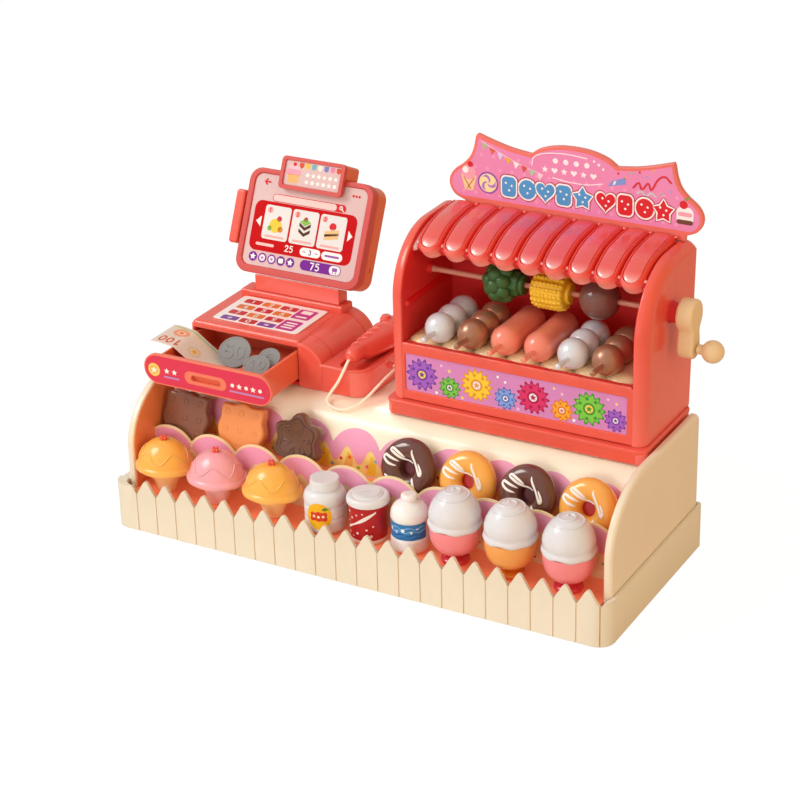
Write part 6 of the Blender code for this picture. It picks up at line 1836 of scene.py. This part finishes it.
# Spit. A tan rod turns in two bearings and carries a broccoli head, a corn cob and a meatball. All
# three are hollow mouldings pushed on the rod, and turn with it and the crank.
SPIT = Vector((0, 43.5, 196))
rod_tan = moulded("rod_tan", "D98E78", gloss=0.32, peel=0.1, mottle=0.06, coat=0.2)
rod = turned([(0, 202), (2.5, 202), (2.5, 172), (2, 171), (2, 5.6), (2.5, 5), (2.5, 1), (0, 1)], SPIT, "X", 28)
shaped("spit_rod", rod, rod_tan, "tan", "spit_shaft", body="spit", sharp=40)
# Both bearings are deep red: the right one's flange is a painted shade for the contact shadow beside the crank arm, and
# the left one disappears into the red lining.
for label, ring in (("left", [(3.6, 3.4), (3.8, -0.6), (2.8, -0.6), (2.8, 3.4)]),
        ("right", [(6.2, 192.4), (7, 191.4), (7.4, 187.6), (8.4, 186.2), (4.6, 185.6), (4.6, 175.4), (2.8, 175.4),
        (2.8, 192.4)])):
    shaped(f"spit_bearing_{label}", turned(ring, SPIT, "X", 36, closed=True), deep_red, "coral", f"bearing_{label}",
        sharp=35)


def lump(bm, centre, radius, squash=(1, 1, 1), steps=14, axis=None):
    """An ellipsoid, flattened along its own axis where one is given."""
    hold = axis.to_track_quat("Z", "Y").to_matrix() if axis else Matrix.Identity(3)
    rings = []
    for i in range(9):
        across, up = sin(pi * i / 8), cos(pi * i / 8)
        rings.append([bm.verts.new((centre + hold @ Vector((radius * squash[0] * across * cos(a),
            radius * squash[1] * across * sin(a), radius * squash[2] * up))) * MM)
                      for a in turns(steps)[:1 if i in (0, 8) else steps]])
    bridged(bm, rings)


leaf_green = moulded("leaf_green", "34602F", gloss=0.34, peel=0.25, mottle=0.14, wear_and_highlight=0.8, coat=0.2)
broccoli = bmesh.new()
centre = SPIT + Vector((58.6, 0, 0))
lump(broccoli, centre, 12.6, (0.95, 1, 1), 28)
for ring_x, ring_r, count, size, phase in ((-8.6, 7.6, 5, 5.4, 0.3), (-2, 12, 8, 5.6, 0), (5, 11.4, 8, 5.2, 0.4),
        (-13, 0, 1, 4.6, 0)):
    for k in range(count):
        a = 2 * pi * k / count + phase
        way = Vector((ring_x, ring_r * cos(a), ring_r * sin(a)))
        lump(broccoli, centre + way * 0.94, size, (1, 1, 0.78), 16, way)
turned(rounded_profile([(0, 15.2), (6.6, 15.2), (7.4, 14.6), (7.4, 12.4), (7, 12), (8.6, 11), (8.8, 9), (8.8, 6),
    (9.4, 3), (9.4, 3), (0, 3)], 0.6), SPIT + Vector((61.4, 0, 0)), "X", 36,
       warp=lambda a, r, h: (r * (1 + 0.05 * cos(8 * a)) if r > 7.6 else r, h), bm=broccoli)
shaped("broccoli_head", broccoli, leaf_green, "green", "broccoli", body="spit", sharp=60)

corn_yellow = moulded("corn_yellow", "F4BE22", gloss=0.3, peel=0.1, mottle=0.06, coat=0.3, soft=0.15)
corn = bmesh.new()
cob_at = SPIT + Vector((97.4, 0, 0))
turned(rounded_profile([(0, 15), (6.6, 15), (7.6, 14.6), (8, 13.6), (8.2, 12.6), (10.6, 12.2), (12.2, 11),
    (12.6, 8), (12.6, -8), (12, -11), (10.4, -12.2), (8.2, -12.8), (8, -14), (7, -14.6), (7, -14.6), (0, -14.6)],
    0.8), cob_at, "X", 44,
       warp=lambda a, r, h: (r * (1 + 0.018 * cos(4 * a)), h), bm=corn)
for k in range(18):
    a = 2 * pi * k / 18
    way = Vector((0, cos(a), sin(a)))
    for row in range(8):
        lump(corn, cob_at + Vector((10.2 - 2.92 * row, 0, 0)) + way * (11.7 if row in (0, 7) else 12.5), 1.9,
            (1.02, 0.86, 0.86), 10, way)
shaped("corn_kernels", corn, corn_yellow, "yellow", "corn_cob", body="spit", sharp=60)

meat_brown = moulded("meat_brown", "7C5049", gloss=0.22, peel=0.12, mottle=0.16, coat=0.5)
meat = turned([(0, 13.6), (3.2, 13.6)] + loop_arc((0, 0), 14.7, 76, -76, 30) + [(3.2, -13.6), (0, -13.6)],
    SPIT + Vector((133.5, 0, 0)), "X", 56,
              warp=lambda a, r, h: (r * (1 + 0.008 * sin(3 * a + h * 0.4)), h))
shaped("meatball_round", meat, meat_brown, "tan", "meatball", body="spit", sharp=60)


# Crank. A cream arm is screwed to the end of the rod outside the right cheek, and a round
# knob turns on a pin at its lower end.
crank_cream = moulded("crank_cream", "EACB9C", gloss=0.3, peel=0.14, mottle=0.04, coat=0.3)
hub = loop_arc((43.5, 196), 11.6, -40, 220, 40)
foot_end = loop_arc((43.5, 172), 7.6, 178, 362, 26)
left_waist = flat_route([hub[-1], (37, 184.6), (36.3, 178.6), foot_end[0]], 1.4)[1:-1]
right_waist = [(87 - y, z) for y, z in reversed(left_waist)]
arm_line = hub + left_waist + foot_end + right_waist
arm = joined(plate([arm_line], "X", (193.2, 205.4)), edge=2.4, segments=6, angle=60)
arm = joined(arm, (CUT, turned([(0, 4), (2.6, 4), (2.6, -2.4), (0, -2.4)], (205.4, 43.5, 196), "X", 24)),
    (CUT, turned([(0, 12), (2.75, 12), (2.75, 0), (0, 0)], (190.3, 43.5, 196), "X", 24)))
faced("crank_lever", arm, crank_cream, "cream", "crank_arm", body="spit", sharp=45)
screw = turned([(0, 204.6), (1.7, 204.6), (2.1, 204.2), (2.1, 203), (0, 203)], (0, 43.5, 196), "X", 24)
screw = joined(screw, (CUT, block((204, 206), (43.1, 43.9), (193, 199))))
shaped("crank_screw", screw, coin_grey, "grey", body="spit", sharp=40)
shaped("crank_pin", turned([(0, 215.6), (1.6, 215.6), (1.8, 215.2), (1.8, 203), (0, 203)], (0, 43.5, 172), "X", 24),
    crank_cream, "cream", body="spit", sharp=45)
knob_line = [(0, 225.25)] + [(8 * sin(radians(a)), 217.3 + 7.95 * cos(radians(a)))
    for a in range(8, 150, 6)] + [(3.5, 209.8), (3.5, 206.6), (2.1, 206.6), (2.1, 216.6), (0, 216.6)]
shaped("crank_ball", turned(knob_line, (0, 43.5, 172), "X", 48), crank_cream, "cream", "crank_knob", body="knob",
    sharp=45)
